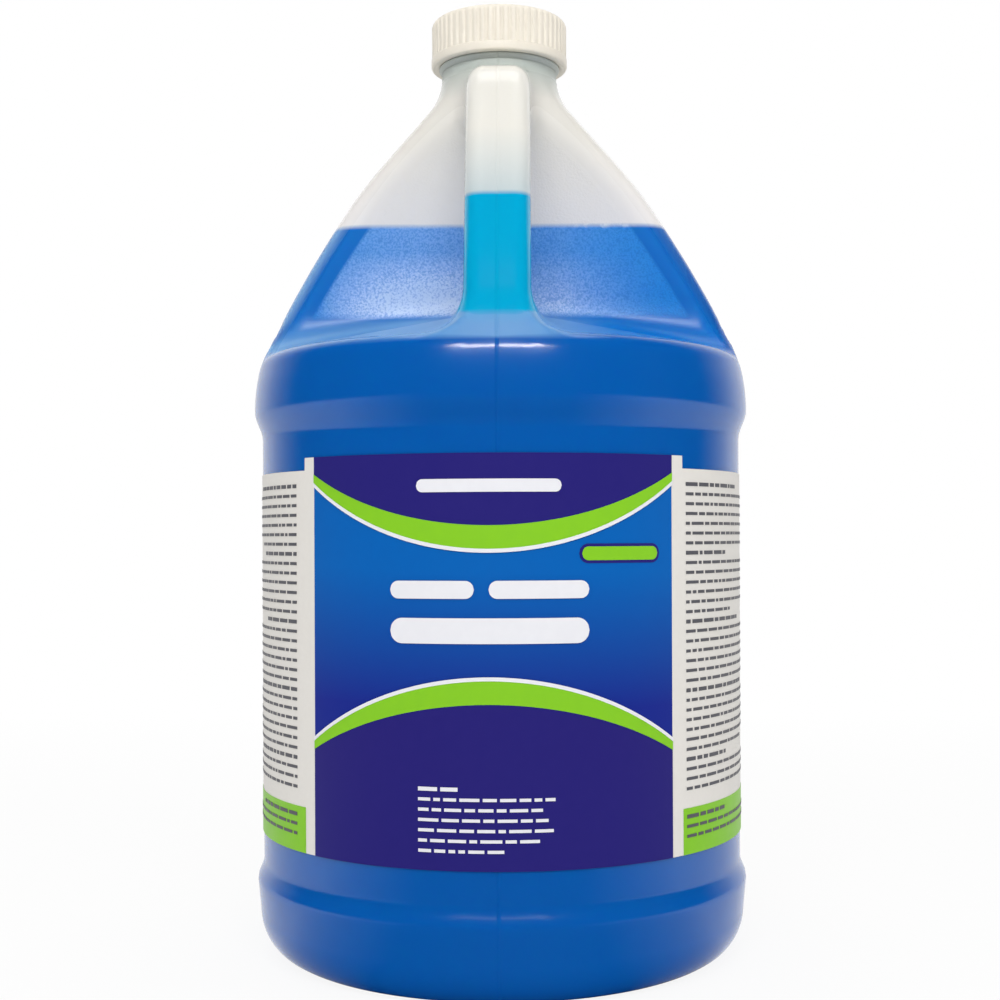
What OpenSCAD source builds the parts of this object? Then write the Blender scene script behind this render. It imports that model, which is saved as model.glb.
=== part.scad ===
// One-gallon round jug of liquid laundry detergent: a blow-moulded bottle with a
// hollow grip handle over a flat-walled pocket, a ribbed screw cap and a wraparound label.
// Units are millimetres. The origin is the centre of the base, +Z is up and the handle,
// with the label's front, faces -Y.

/* [Body] */
// Outer diameter of the straight panel that carries the label
panel_d = 153; // [146:0.5:160]
// Height of the panel's lower edge above the base
panel_bottom = 29.5; // [27:0.5:36]
// Thickness of the moulded wall
wall = 1; // [0.8:0.05:1.6]
// How far the lower bumper stands out from the panel
foot_proud = 1.9; // [1:0.1:3]
// Height of the slope between the lower bumper and the panel
foot_step_h = 6.2; // [4:0.1:8]
// How much the lower bumper narrows down to the heel
foot_taper = 0.85; // [0.2:0.05:1.4]
// Height of the rounded heel
heel_h = 14.2; // [11:0.1:17]
// How far the rounded heel reaches inwards
heel_w = 11.6; // [9:0.1:15]
// Width of the flat ring that the bottle stands on
ring_w = 6; // [4:0.5:10]
// Height of the base's hollow above the standing ring
push_up = 5; // [3:0.5:8]

/* [Shoulder] */
// How far the shoulder stands out from the panel
shoulder_proud = 2.5; // [1.5:0.1:4]
// Height of the step from the panel out to the shoulder
shoulder_step_h = 9; // [6:0.5:12]
// Radius of the arc that turns the shoulder over
crown_r = 56.3; // [48:0.1:64]
// Angle through which that arc turns
crown_turn = 29.3; // [26:0.1:31]
// Lean of the cone where it meets the neck
cone_turn = 40.7; // [39.5:0.1:43]
// Outer diameter of the plain neck
neck_d = 37; // [36:0.1:38.5]
// Radius of the curve between the cone and the neck
neck_fillet = 20.4; // [14:0.1:26]

/* [Grip pocket] */
// How far in front of the axis the pocket's flat wall starts, at the crest's height
pocket_y = 1; // [0:0.5:6]
// Slope of the pocket's floor
floor_slope = 13; // [8:0.5:18]
// Turn of the shoulder at which its crest begins
crest_turn = 14; // [11:0.1:18]
// Radius of the crest between the shoulder and the floor
crest_round = 5; // [3:0.1:7]

/* [Handle] */
// Width of the handle, side to side
handle_w = 19.4; // [17:0.1:22]
// Depth of the handle, front to back
handle_t = 18; // [16:0.1:20]
// Rounding of the handle's long edges
handle_round = 7; // [4:0.1:7.8]
// How far the handle's foot is set back from the crest
foot_set_back = 1.2; // [0.6:0.1:2.5]
// Lean of the handle's lower run
foot_lean = 19; // [16:0.5:21]
// Length of the handle's lower run
foot_run = 25; // [20:0.5:30]
// Lean of the handle's upper run
top_lean = 27; // [26:0.5:29]
// Radius of the handle's front line between the two runs
bow_r = 90; // [60:1:120]
// Length of the handle's upper run
top_run = 52.3; // [50:0.1:54]
// Radius of the front line where the handle turns in to the neck
corner_r = 20; // [19:0.1:23]

/* [Neck finish and cap] */
// Bore of the mouth
bore_d = 30; // [27:0.1:31]
// Diameter of the finish at the root of its thread
finish_d = 35.6; // [35:0.1:36]
// Advance of the thread in one turn
thread_pitch = 4.233; // [4:0.001:4.4]
// Number of turns of thread
thread_turns = 1.25; // [1:0.05:1.4]
// Height that the thread stands out of its wall
thread_h = 1.1; // [0.8:0.05:1.2]
// Play between the neck and the cap, and across the thread's flanks
thread_play = 0.35; // [0.3:0.01:0.5]
// Outer diameter of the cap
cap_d = 44; // [43.4:0.1:47]
// Height of the cap
cap_h = 14.6; // [14.2:0.1:17]
// Thickness of the cap's top
cap_top = 1.8; // [1.2:0.1:2.4]
// Height of the cap's plain band
band_h = 2.8; // [1.6:0.1:4]
// How far the plain band stands out from the ribs
band_proud = 0.15; // [0.1:0.05:0.4]
// Number of ribs around the cap
rib_count = 56; // [36:1:72]
// Depth of the grooves between the ribs
rib_depth = 0.5; // [0.3:0.05:0.7]
// Rounding of the cap's top edge
cap_round = 1.6; // [0.8:0.1:2.4]
// Height of the cap's rim above the narrowest point of the neck
cap_lift = 2.2; // [1.5:0.1:3.5]
// Thickness of the sealing disc
liner_t = 1; // [0.6:0.1:1.5]
// Gap on each face and around the edge of the sealing disc
liner_gap = 0.1; // [0.05:0.01:0.2]

/* [Contents] */
// Height of the liquid's surface above the shoulder's crest
fill_rise = 45.9; // [20:0.1:60]
// Gap between the liquid and the wall
liquid_gap = 0.15; // [0.1:0.01:0.3]

/* [Label] */
// Height of the label's lower edge above the panel's lower edge
label_rise = 9.5; // [4:0.5:12]
// Height of the label's front section
label_h = 115.5; // [100:0.5:125]
// Height of the bare panel above the label
label_drop = 7.5; // [4:0.5:12]
// How much lower the label's wings are
wing_drop = 3.7; // [1:0.1:8]
// Angle from the front to the left edge of the printed field
field_left = 44.1; // [40:0.1:50]
// Angle from the front to the right edge of the printed field
field_right = 40.3; // [35:0.1:50]
// Angle of the white margin beside the printed field
margin_turn = 3.5; // [2:0.1:6]
// Angle from the front to each end of the label, at the back
wing_end = 179; // [150:1:179]
// Thickness of the label stock
label_t = 0.2; // [0.1:0.05:0.3]
// Thickness of each layer of print
ink_t = 0.08; // [0.05:0.01:0.12]
// Gap under the label and under each layer of print
ink_gap = 0.04; // [0.02:0.01:0.06]
// Height of the coloured block at the foot of each wing
wing_block_h = 13.4; // [8:0.1:20]
// Height of the dark header at the middle of the field
header_h = 20; // [14:0.5:26]
// Height of the dark footer at the middle of the field
footer_h = 46; // [36:0.5:52]
// How far each coloured arc bends across the field
arc_bend = 15; // [6:0.5:20]
// Width of each coloured arc at its middle
arc_w = 6.5; // [4:0.1:9]
// Width of each coloured arc at its ends
arc_end_w = 2.4; // [1.5:0.1:4]
// Width of the white line along each coloured arc
hairline_w = 1.1; // [0.6:0.1:1.6]

/* [Hidden] */
$fn = 96;

// Body heights and radii
panel_r = panel_d / 2;
panel_top = panel_bottom + label_rise + label_h + label_drop;
foot_r = panel_r + foot_proud;
heel_r = foot_r - foot_taper;
foot_top = panel_bottom - foot_step_h;
ring_r = heel_r - heel_w;
ring_in_r = ring_r - ring_w;
dome_r = (pow(ring_in_r, 2) + pow(push_up, 2)) / (2 * push_up);
shoulder_r = panel_r + shoulder_proud;
crown_z = panel_top + shoulder_step_h;
body_reach = 2 * shoulder_r;

// Shoulder: the crown's arc runs into the cone's long arc, and that into the neck's fillet
neck_r = neck_d / 2;
crown_c = [shoulder_r - crown_r, crown_z];
crown_end_r = crown_c[0] + crown_r * cos(crown_turn);
cone_end_r = neck_r + neck_fillet * (1 - cos(cone_turn));
cone_r = (crown_end_r - cone_end_r) / (cos(crown_turn) - cos(cone_turn));
cone_c = crown_c + (crown_r - cone_r) * heading(crown_turn);
neck_z = cone_c[1] + (cone_r + neck_fillet) * sin(cone_turn);

// Pocket: the crest's small arc leaves the crown's arc and runs into the floor, and the
// flat wall leans forward until it passes just in front of the neck
crest_c = crown_c + (crown_r - crest_round) * heading(crest_turn);
crest_z = crown_c[1] + crown_r * sin(crest_turn);
crest_r = crown_c[0] + crown_r * cos(crest_turn);
fill_z = crest_z + fill_rise;
wall_top_gap = 0.5;
wall_lean = atan((neck_r + wall_top_gap - pocket_y) / (neck_z - crest_z));

// Handle: centres of its two bends, in the plane of radius and height
handle_foot = [crest_r - foot_set_back, crest_z];
bow_start = handle_foot + foot_run * along(foot_lean);
bow_c = bow_start - bow_r * heading(foot_lean);
bow_end = bow_c + bow_r * heading(top_lean);
corner_start = bow_end + top_run * along(top_lean);
corner_c = corner_start - corner_r * heading(top_lean);
foot_sink = 8;
neck_sink = 14;

// Neck finish and cap
bore_r = bore_d / 2;
finish_r = finish_d / 2;
thread_crest_r = finish_r + thread_h;
cap_in_r = thread_crest_r + thread_play;
rib_r = cap_d / 2 - band_proud;
rib_steps = [0, 0.36, 0.52, 0.84];
cap_z = neck_z + cap_lift;
cap_top_z = cap_z + cap_h;
cap_roof_z = cap_top_z - cap_top;
liner_z = cap_roof_z - liner_gap - liner_t;
land_z = liner_z - liner_gap;
finish_z = cap_z + 0.8;
thread_root_w = 2.1;
thread_tip_w = 1;
cap_thread_root_w = 1.8;
cap_thread_tip_w = 0.8;
thread_rise = thread_pitch * thread_turns;
thread_z = land_z - 1.5 - thread_rise;
cap_thread_z = thread_z - (thread_root_w + thread_tip_w) / 4
             - (cap_thread_root_w + cap_thread_tip_w) / 4 - thread_play;
thread_sink = 0.3;
step_turn = 10;
lead_steps = 3;
band_round = 0.7;

// Label
label_r = panel_r + ink_gap;
label_z = panel_bottom + label_rise;
label_top = label_z + label_h;
wing_top = label_top - wing_drop;
print_r = label_r + label_t + ink_gap;
layer = ink_t + ink_gap;
print_turn = 80;
field_mid = (field_right - field_left) / 2;
field_half = arc_length((field_right + field_left) / 2);
field_mid_s = arc_length(field_mid);
arc_steps = 24;
arc_narrow = arc_w - arc_end_w;
header_z = label_top - header_h;
footer_z = label_z + footer_h;
centre_h = header_z - footer_z;

// Blank badge and title bars, in shares of the field's half width and of its centre's height
badge_s = field_mid_s + 0.68 * field_half;
badge_z = header_z - 0.16 * centre_h;
badge_w = 0.23 * field_half;
badge_h = 0.11 * centre_h;
badge_edge = 0.15 * badge_h;
title_w = field_half / 2;
title_gap = title_w / 14;
title_h = centre_h / 10;
title_z = footer_z + 0.64 * centre_h;
subtitle_h = centre_h / 7;
subtitle_z = footer_z + 0.41 * centre_h;
heading_w = 0.36 * field_half;
heading_h = 0.18 * header_h;
heading_z = header_z + 0.55 * header_h;

// Unit vector at an angle from the outward radius towards +Z
function heading(a) = [cos(a), sin(a)];

// Unit vector square to heading: up, and leaning inwards by the angle
function along(a) = [-sin(a), cos(a)];

// Points on a circular arc
function arc_points(c, r, from, to, n) =
    [for (i = [0:n]) c + r * heading(from + (to - from) * i / n)];

// Points on a smooth step whose ends run straight up
function step_points(p, q, n) =
    [for (i = [0:n]) [p[0] + (q[0] - p[0]) * (1 - cos(180 * i / n)) / 2,
                      p[1] + (q[1] - p[1]) * i / n]];

// Outline of the body from the base's centre to the shoulder, inset by t
function body_outline(t) = concat(
    arc_points([0, t + push_up - dome_r], dome_r, 90, 90 - asin(ring_in_r / dome_r), 6),
    [for (i = [0:8]) [heel_r - heel_w + (heel_w - t) * sin(90 * i / 8),
                      heel_h - (heel_h - t) * cos(90 * i / 8)]],
    step_points([foot_r - t, foot_top], [panel_r - t, panel_bottom], 6),
    step_points([panel_r - t, panel_top], [shoulder_r - t, crown_z], 8),
    [[0, crown_z]]);

// Outline of the shoulder and cone up to the plain neck
function shoulder_outline() = concat(
    [[0, crown_z]],
    arc_points(crown_c, crown_r, 0, crown_turn, 8),
    arc_points(cone_c, cone_r, crown_turn, cone_turn, 12),
    arc_points([neck_r + neck_fillet, neck_z], neck_fillet, 180 + cone_turn, 180, 8),
    [[0, neck_z]]);

// Turn of the inset cone at which it reaches the bore
function mouth_turn(t) = acos((bore_r - cone_c[0]) / (cone_r - t));

// Outline of the space inside the shoulder and cone, up to the bore
function cavity_outline(t) = concat(
    [[0, crown_z]],
    arc_points(crown_c, crown_r - t, 0, crown_turn, 8),
    arc_points(cone_c, cone_r - t, crown_turn, mouth_turn(t), 12),
    [[0, cone_c[1] + (cone_r - t) * sin(mouth_turn(t))]]);

// Outline of the shoulder's front, which ends in the pocket's floor
function front_outline(t) =
    let (crest = arc_points(crest_c, crest_round - t, crest_turn, 90 - floor_slope, 6),
         last = crest[len(crest) - 1])
    concat([[0, crown_z]],
           arc_points(crown_c, crown_r - t, 0, crest_turn, 6),
           crest,
           [[0, last[1] + last[0] * tan(floor_slope)]]);

// The handle's section, inset by t, with x from front to back
function handle_section(t) =
    let (x = handle_t / 2 - handle_round, y = handle_w / 2 - handle_round, r = handle_round - t)
    concat(arc_points([x, y], r, 0, 90, 4), arc_points([-x, y], r, 90, 180, 4),
           arc_points([-x, -y], r, 180, 270, 4), arc_points([x, -y], r, 270, 360, 4));

// The space behind the pocket's flat wall, inset by t
module behind_wall(t) {
    translate([0, -pocket_y, crest_z])
        rotate([wall_lean, 0, 0])
            translate([-body_reach, t, -2 * body_reach])
                cube([2 * body_reach, 2 * body_reach, 4 * body_reach]);
}

// The body and shoulder without the handle, inset by t: outer form or inner space
module body_form(t) {
    rotate_extrude()
        polygon(body_outline(t));
    intersection() {
        rotate_extrude()
            polygon(t > 0 ? cavity_outline(t) : shoulder_outline());
        behind_wall(t);
    }
    difference() {
        rotate_extrude()
            polygon(front_outline(t));
        behind_wall(t);
    }
}

// A solid skinned over rings of points, each drawn anticlockwise as the rings advance
module skinned(rings) {
    n = len(rings[0]);
    last = n * (len(rings) - 1);
    sides = [for (i = [0:len(rings) - 2], k = [0:n - 1])
        let (a = n * i + k, b = n * i + (k + 1) % n)
        each [[a, a + n, b + n], [a, b + n, b]]];
    polyhedron([for (ring = rings, p = ring) p],
               concat(sides, [[for (k = [0:n - 1]) k]], [[for (k = [n - 1:-1:0]) last + k]]));
}

// The handle's front line as [place in radius and height, lean] pairs, foot to neck
function handle_line() = concat(
    [[handle_foot - foot_sink * along(foot_lean), foot_lean]],
    [for (i = [0:5]) let (a = foot_lean + (top_lean - foot_lean) * i / 5) [bow_c + bow_r * heading(a), a]],
    [for (i = [0:7]) let (a = top_lean + (90 - top_lean) * i / 7) [corner_c + corner_r * heading(a), a]],
    [[corner_c + corner_r * heading(90) + neck_sink * along(90), 90]]);

// The handle from inside the shoulder's crest to inside the neck, inset by t
module handle_form(t) {
    skinned([for (place = handle_line())
        [for (q = handle_section(t))
            let (p = place[0] + (q[0] - handle_t / 2) * heading(place[1]))
            [q[1], -p[0], p[1]]]]);
}

// A helical ridge that rises from z on a wall of radius root_r to tip_r, sunk into the wall
module helix_ridge(z, root_r, tip_r, root_w, tip_w) {
    steps = ceil(360 * thread_turns / step_turn);
    side = sign(tip_r - root_r);
    skinned([for (i = [0:steps])
        let (a = 360 * thread_turns * i / steps,
             lead = max(0.1, min(1, i / lead_steps, (steps - i) / lead_steps)),
             sunk = [root_r - side * thread_sink, root_w / 2],
             tip = [root_r + (tip_r - root_r) * lead, tip_w / 2],
             inner = side > 0 ? sunk : tip,
             outer = side > 0 ? tip : sunk)
        [for (p = [[inner[0], -inner[1]], inner, outer, [outer[0], -outer[1]]])
            [p[0] * cos(a), p[0] * sin(a), z + thread_pitch * a / 360 + p[1]]]]);
}

// The moulded bottle: one hollow shell with its handle, neck and thread
module bottle() {
    color([0.86, 0.87, 0.87, 0.6]) {
        difference() {
            union() {
                body_form(0);
                handle_form(0);
                translate([0, 0, neck_z - 1])
                    cylinder(r = neck_r, h = finish_z - neck_z + 1);
                translate([0, 0, finish_z - 1])
                    cylinder(r = finish_r, h = land_z - finish_z + 1);
            }
            body_form(wall);
            handle_form(wall);
            translate([0, 0, cone_c[1] + (cone_r - wall) * sin(mouth_turn(wall)) - 1])
                cylinder(r = bore_r, h = land_z);
        }
        helix_ridge(thread_z, finish_r, thread_crest_r, thread_root_w, thread_tip_w);
    }
}

// The liquid inside the body and the handle, up to its level surface
module detergent() {
    color([0.0, 0.36, 0.70])
        intersection() {
            union() {
                body_form(wall + liquid_gap);
                handle_form(wall + liquid_gap);
            }
            cylinder(r = body_reach, h = fill_z);
        }
}

// Outline of the cap's ribbed skirt, seen from above
function rib_outline() =
    [for (i = [0:rib_count - 1], k = [0:3])
        (rib_r - (k < 2 ? 0 : rib_depth)) * heading((i + rib_steps[k]) * 360 / rib_count)];

// The cap's outer envelope with its rounded edges
function cap_outline() = concat(
    [[0, cap_z]],
    arc_points([cap_d / 2 - band_round, cap_z + band_round], band_round, -90, 0, 4),
    arc_points([cap_d / 2 - cap_round, cap_top_z - cap_round], cap_round, 0, 90, 6),
    [[0, cap_top_z]]);

// The ribbed screw cap with its plain band and inner thread
module cap() {
    color([0.93, 0.91, 0.86]) {
        difference() {
            intersection() {
                rotate_extrude()
                    polygon(cap_outline());
                union() {
                    translate([0, 0, cap_z - 1])
                        cylinder(r = cap_d, h = band_h + 1);
                    translate([0, 0, cap_z + band_h - 1])
                        linear_extrude(cap_h)
                            polygon(rib_outline());
                }
            }
            translate([0, 0, cap_z - 1])
                cylinder(r = cap_in_r, h = cap_roof_z - cap_z + 1);
        }
        helix_ridge(cap_thread_z, cap_in_r, cap_in_r - thread_h, cap_thread_root_w, cap_thread_tip_w);
    }
}

// The foam disc that seals the mouth under the cap's top
module cap_liner() {
    color([0.96, 0.96, 0.95])
        translate([0, 0, liner_z])
            cylinder(r = cap_in_r - liner_gap, h = liner_t);
}

// Length along the panel's surface of an angle from the front
function arc_length(a) = panel_r * a * PI / 180;

// Place across the front, seen square on, of a length along the panel's surface
function across(s) = print_r * sin(s / panel_r * 180 / PI);

// A curved patch of the given thickness between two angles from the front
module patch(r, t, from, to, z, h) {
    rotate([0, 0, from - 90])
        rotate_extrude(angle = to - from)
            translate([r, z])
                square([t, h]);
}

// A layer of print: its children are drawn flat and wrapped onto the label's front
module printed(level) {
    intersection() {
        patch(print_r + level * layer, ink_t, -print_turn, print_turn, label_z, label_h);
        rotate([90, 0, 0])
            linear_extrude(panel_d)
                children();
    }
}

// Height of an arc across the field: mid at its middle and bend higher at its ends
function arc_z(mid, bend, s) = mid + bend * pow((s - field_mid_s) / field_half, 2);

// A band across the field between two arcs, each given as its middle height and its bend
module band(low, high) {
    s = [for (i = [0:arc_steps]) field_mid_s + field_half * (2 * i / arc_steps - 1)];
    polygon(concat(
        [for (v = s) [across(v), arc_z(low[0], low[1], v)]],
        [for (i = [arc_steps:-1:0]) [across(s[i]), arc_z(high[0], high[1], s[i])]]));
}

// A bar with round ends between two places along the field, centred on height z
module bar(from, to, z, h) {
    polygon(concat(
        arc_points([across(to) - h / 2, z], h / 2, -90, 90, 6),
        arc_points([across(from) + h / 2, z], h / 2, 90, 270, 6)));
}

// The space over one of the label's wings, from the front section round to the back
module over_wing(from, to) {
    patch(label_r - label_t, 3 * label_t, from, to, wing_top, 2 * wing_drop);
}

// The wraparound label, one sheet with a taller front section
module label() {
    color([0.89, 0.87, 0.85])
        difference() {
            patch(label_r, label_t, -wing_end, wing_end, label_z, label_h);
            over_wing(field_right + margin_turn, 180);
            over_wing(-180, -field_left - margin_turn);
        }
}

// The blue ground of the printed field
module print_blue() {
    color([0.0, 0.33, 0.66])
        printed(0)
            band([label_z, 0], [label_top, 0]);
}

// The dark header and footer, and the badge's edge
module print_indigo() {
    color([0.17, 0.14, 0.47]) {
        printed(1)
            band([header_z, arc_bend], [label_top, 0]);
        printed(1)
            band([label_z, 0], [footer_z, -arc_bend]);
        printed(1)
            bar(badge_s - badge_w, badge_s + badge_w, badge_z, badge_h);
    }
}

// The two coloured arcs, the badge and the block at the foot of each wing
module print_green() {
    color([0.50, 0.78, 0.13]) {
        printed(2)
            band([header_z - arc_w, arc_bend + arc_narrow], [header_z, arc_bend]);
        printed(2)
            band([footer_z, -arc_bend], [footer_z + arc_w, -arc_bend - arc_narrow]);
        printed(2)
            bar(badge_s - badge_w + badge_edge, badge_s + badge_w - badge_edge,
                badge_z, badge_h - 2 * badge_edge);
        patch(print_r, ink_t, field_right + margin_turn, wing_end, label_z, wing_block_h);
        patch(print_r, ink_t, -wing_end, -field_left - margin_turn, label_z, wing_block_h);
    }
}

// The white lines along the arcs, and plain bars where the title would be
module print_white() {
    color([0.95, 0.95, 0.96]) {
        printed(3)
            band([header_z - arc_w - hairline_w, arc_bend + arc_narrow],
                 [header_z - arc_w, arc_bend + arc_narrow]);
        printed(3)
            band([footer_z + arc_w, -arc_bend - arc_narrow],
                 [footer_z + arc_w + hairline_w, -arc_bend - arc_narrow]);
        printed(3)
            bar(field_mid_s - title_w, field_mid_s - 2 * title_gap, title_z, title_h);
        printed(3)
            bar(field_mid_s, field_mid_s + title_w, title_z, title_h);
        printed(3)
            bar(field_mid_s - title_w, field_mid_s + title_w, subtitle_z, subtitle_h);
        printed(3)
            bar(field_mid_s - heading_w, field_mid_s + heading_w, heading_z, heading_h);
    }
}

bottle();
detergent();
cap();
cap_liner();
label();
print_blue();
print_indigo();
print_green();
print_white();
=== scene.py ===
"""A one-gallon jug of blue laundry detergent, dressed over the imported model.

The script builds the moulded shell with its grip pocket and handle, the liquid inside it, the
ribbed screw cap with its sealing disc, and the wraparound label with its layers of print. Then it
sets the studio: floor, backdrop, lamps and camera. All sizes are in metres, in the frame of the
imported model: +Z is up and the handle faces -Y.
"""

import logging
import math
from collections.abc import Callable, Iterable
from dataclasses import dataclass, field
from enum import Enum
from typing import Any

import bpy
import numpy as np
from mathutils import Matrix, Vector


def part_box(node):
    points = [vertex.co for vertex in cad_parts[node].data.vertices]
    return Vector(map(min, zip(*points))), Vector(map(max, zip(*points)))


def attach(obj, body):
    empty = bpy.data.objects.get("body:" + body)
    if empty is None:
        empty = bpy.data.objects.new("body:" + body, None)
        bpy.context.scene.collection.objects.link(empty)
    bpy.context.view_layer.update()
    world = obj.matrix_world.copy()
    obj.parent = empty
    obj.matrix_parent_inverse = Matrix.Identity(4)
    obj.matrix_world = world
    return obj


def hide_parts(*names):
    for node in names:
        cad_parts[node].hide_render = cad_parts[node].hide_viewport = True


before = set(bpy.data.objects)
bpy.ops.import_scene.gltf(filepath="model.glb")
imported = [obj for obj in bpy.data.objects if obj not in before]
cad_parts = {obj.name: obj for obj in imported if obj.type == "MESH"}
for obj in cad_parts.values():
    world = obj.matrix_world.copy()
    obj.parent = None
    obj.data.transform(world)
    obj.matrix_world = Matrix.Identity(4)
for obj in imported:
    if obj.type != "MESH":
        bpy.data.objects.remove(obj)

LOG = logging.getLogger("jug")
SHELL_LAYERS = ("grip", "inset", "clear", "wall")
THREAD_TURNS = 1.25
THREAD_PITCH = 0.004233
Colour = tuple[float, float, float]
Place = tuple[float, float]
Mesh = tuple[np.ndarray, list[list[int]]]
Ring = Callable[[np.ndarray], tuple[np.ndarray, np.ndarray]]


def srgb(red: float, green: float, blue: float) -> Colour:
    """A colour given as it looks on a screen, in light values.

    Args:
        red: Red from 0 to 255.
        green: Green from 0 to 255.
        blue: Blue from 0 to 255.

    Returns:
        The linear red, green and blue that a shader takes.
    """
    parts = (red / 255, green / 255, blue / 255)
    return tuple(c / 12.92 if c <= 0.04045 else ((c + 0.055) / 1.055) ** 2.4 for c in parts)


def turned(angle: float) -> np.ndarray:
    """The unit vector at an angle in degrees from outwards towards up."""
    return np.array([math.cos(math.radians(angle)), math.sin(math.radians(angle))])


def rising(angle: float) -> np.ndarray:
    """The unit vector that points up and leans inwards by an angle in degrees."""
    return np.array([-math.sin(math.radians(angle)), math.cos(math.radians(angle))])


# ---- Shader arithmetic ----


class Signal:
    """One output socket of a material, used in ordinary arithmetic."""

    def __init__(self, board: "NodeBoard", socket: bpy.types.NodeSocket) -> None:
        """Wraps a socket.

        Args:
            board: The board that the socket's node is on.
            socket: The output socket.
        """
        self.board = board
        self.socket = socket

    def _math(self, operation: str, *values: "Signal | float") -> "Signal":
        """A Math node on these values."""
        return self.board.add("ShaderNodeMath", {"operation": operation}, dict(enumerate(values)))

    def __add__(self, other: "Signal | float") -> "Signal":
        """The sum."""
        return self._math("ADD", self, other)

    def __sub__(self, other: "Signal | float") -> "Signal":
        """The difference."""
        return self._math("SUBTRACT", self, other)

    def __rsub__(self, other: float) -> "Signal":
        """A number less this value."""
        return self._math("SUBTRACT", other, self)

    def __mul__(self, other: "Signal | float") -> "Signal":
        """The product."""
        return self._math("MULTIPLY", self, other)

    def __truediv__(self, other: "Signal | float") -> "Signal":
        """The quotient."""
        return self._math("DIVIDE", self, other)

    __radd__ = __add__
    __rmul__ = __mul__

    def size(self) -> "Signal":
        """The value without its sign."""
        return self._math("ABSOLUTE", self)

    def clamped(self) -> "Signal":
        """The value kept between 0 and 1."""
        return self.board.add("ShaderNodeClamp", {}, {0: self})

    def rise(self, start: "Signal | float", run: "Signal | float") -> "Signal":
        """0 up to the start, and then up to 1 over the run."""
        return ((self - start) / run).clamped()

    def fall(self, end: "Signal | float", run: "Signal | float") -> "Signal":
        """1 up to a run before the end, and then down to 0 at the end."""
        return ((end - self) / run).clamped()

    def most(self, other: "Signal | float") -> "Signal":
        """The larger of the two."""
        return self._math("MAXIMUM", self, other)


class NodeBoard:
    """The node tree of one material or world."""

    def __init__(self, owner: bpy.types.Material | bpy.types.World) -> None:
        """Empties the owner's node tree.

        Args:
            owner: The material or world to dress.
        """
        owner.use_nodes = True
        self.tree = owner.node_tree
        self.tree.nodes.clear()

    def add(self, kind: str, settings: dict[str, Any] | None = None,
            inputs: dict[str | int, Any] | None = None, output: int | str = 0) -> Signal:
        """Adds a node, sets it up and feeds its sockets.

        Args:
            kind: The node's type.
            settings: Values set on the node itself.
            inputs: Values or signals for its sockets, by name or number.
            output: The output to hand back.

        Returns:
            The chosen output.
        """
        node = self.tree.nodes.new(kind)
        for name, value in (settings or {}).items():
            setattr(node, name, value)
        for name, value in (inputs or {}).items():
            socket = node.inputs[name]
            if isinstance(value, Signal):
                self.tree.links.new(value.socket, socket)
            elif isinstance(value, tuple) and socket.type == "RGBA":
                socket.default_value = (*value, 1)
            else:
                socket.default_value = value
        return Signal(self, node.outputs[output] if node.outputs else None)

    def mix(self, share: Signal | float, a: Signal | Colour, b: Signal | Colour) -> Signal:
        """A colour between two colours.

        Args:
            share: How far to go from the first to the second, from 0 to 1.
            a: The first colour.
            b: The second colour.

        Returns:
            The mixed colour.
        """
        return self.add("ShaderNodeMix", {"data_type": "RGBA"}, {0: share, 6: a, 7: b}, 2)

    def noise(self, where: Signal, scale: float, detail: float = 2, roughness: float = 0.5) -> Signal:
        """Soft noise from 0 to 1.

        Args:
            where: The coordinates.
            scale: How many features there are in a metre.
            detail: How many finer layers are added.
            roughness: How strong the finer layers are.

        Returns:
            The noise value.
        """
        return self.add("ShaderNodeTexNoise", {}, {"Vector": where, "Scale": scale,
                                                   "Detail": detail, "Roughness": roughness})

    def bump(self, height: Signal, depth: float, strength: float, after: Signal | None = None) -> Signal:
        """A normal raised by a height.

        Args:
            height: The height from 0 to 1.
            depth: The size of one unit of height, in metres.
            strength: How strongly it shows.
            after: A normal that it adds to.

        Returns:
            The new normal.
        """
        inputs: dict[str | int, Any] = {"Height": height, "Distance": depth, "Strength": strength}
        if after is not None:
            inputs["Normal"] = after
        return self.add("ShaderNodeBump", {}, inputs)

    def place(self) -> Signal:
        """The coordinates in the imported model's own frame."""
        return self.add("ShaderNodeTexCoord", {}, {}, "Object")

    def along(self, axis: str) -> Signal:
        """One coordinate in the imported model's own frame."""
        return self.add("ShaderNodeSeparateXYZ", {}, {0: self.place()}, axis)

    def surface(self, inputs: dict[str | int, Any]) -> None:
        """Ends the material in a Principled shader with these inputs."""
        shader = self.add("ShaderNodeBsdfPrincipled", {}, inputs)
        self.add("ShaderNodeOutputMaterial", {}, {"Surface": shader})


# ---- Finishes ----


@dataclass(frozen=True)
class Finish:
    """A moulded or printed surface of nearly one colour."""

    name: str
    colour: Colour
    shade: Colour
    roughness: float = 0.4
    specular: float = 0.3
    mottle: float = 300
    relief: float = 0.00002
    sheen: float = 0.0
    gloss_change: float = 0.1
    tooth_finer: float = 6

    def base_colour(self, board: NodeBoard, cloud: Signal) -> Signal:
        """The colour with its faint mottle.

        Args:
            board: The material's board.
            cloud: Soft noise over the surface.

        Returns:
            The colour.
        """
        return board.mix(cloud, self.colour, self.shade)

    def material(self) -> bpy.types.Material:
        """Builds the material: a faint mottle in colour, gloss and relief.

        Returns:
            The new material.
        """
        made = bpy.data.materials.new(self.name)
        board = NodeBoard(made)
        cloud = board.noise(board.place(), self.mottle, 3)
        tooth = board.noise(board.place(), self.mottle * self.tooth_finer, 2)
        board.surface({
            "Base Color": self.base_colour(board, cloud),
            "Roughness": (cloud - 0.5) * self.gloss_change + self.roughness,
            "Specular IOR Level": self.specular,
            "Sheen Weight": self.sheen,
            "Sheen Roughness": 0.4,
            "Normal": board.bump(tooth, self.relief, 0.5),
        })
        return made


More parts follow.
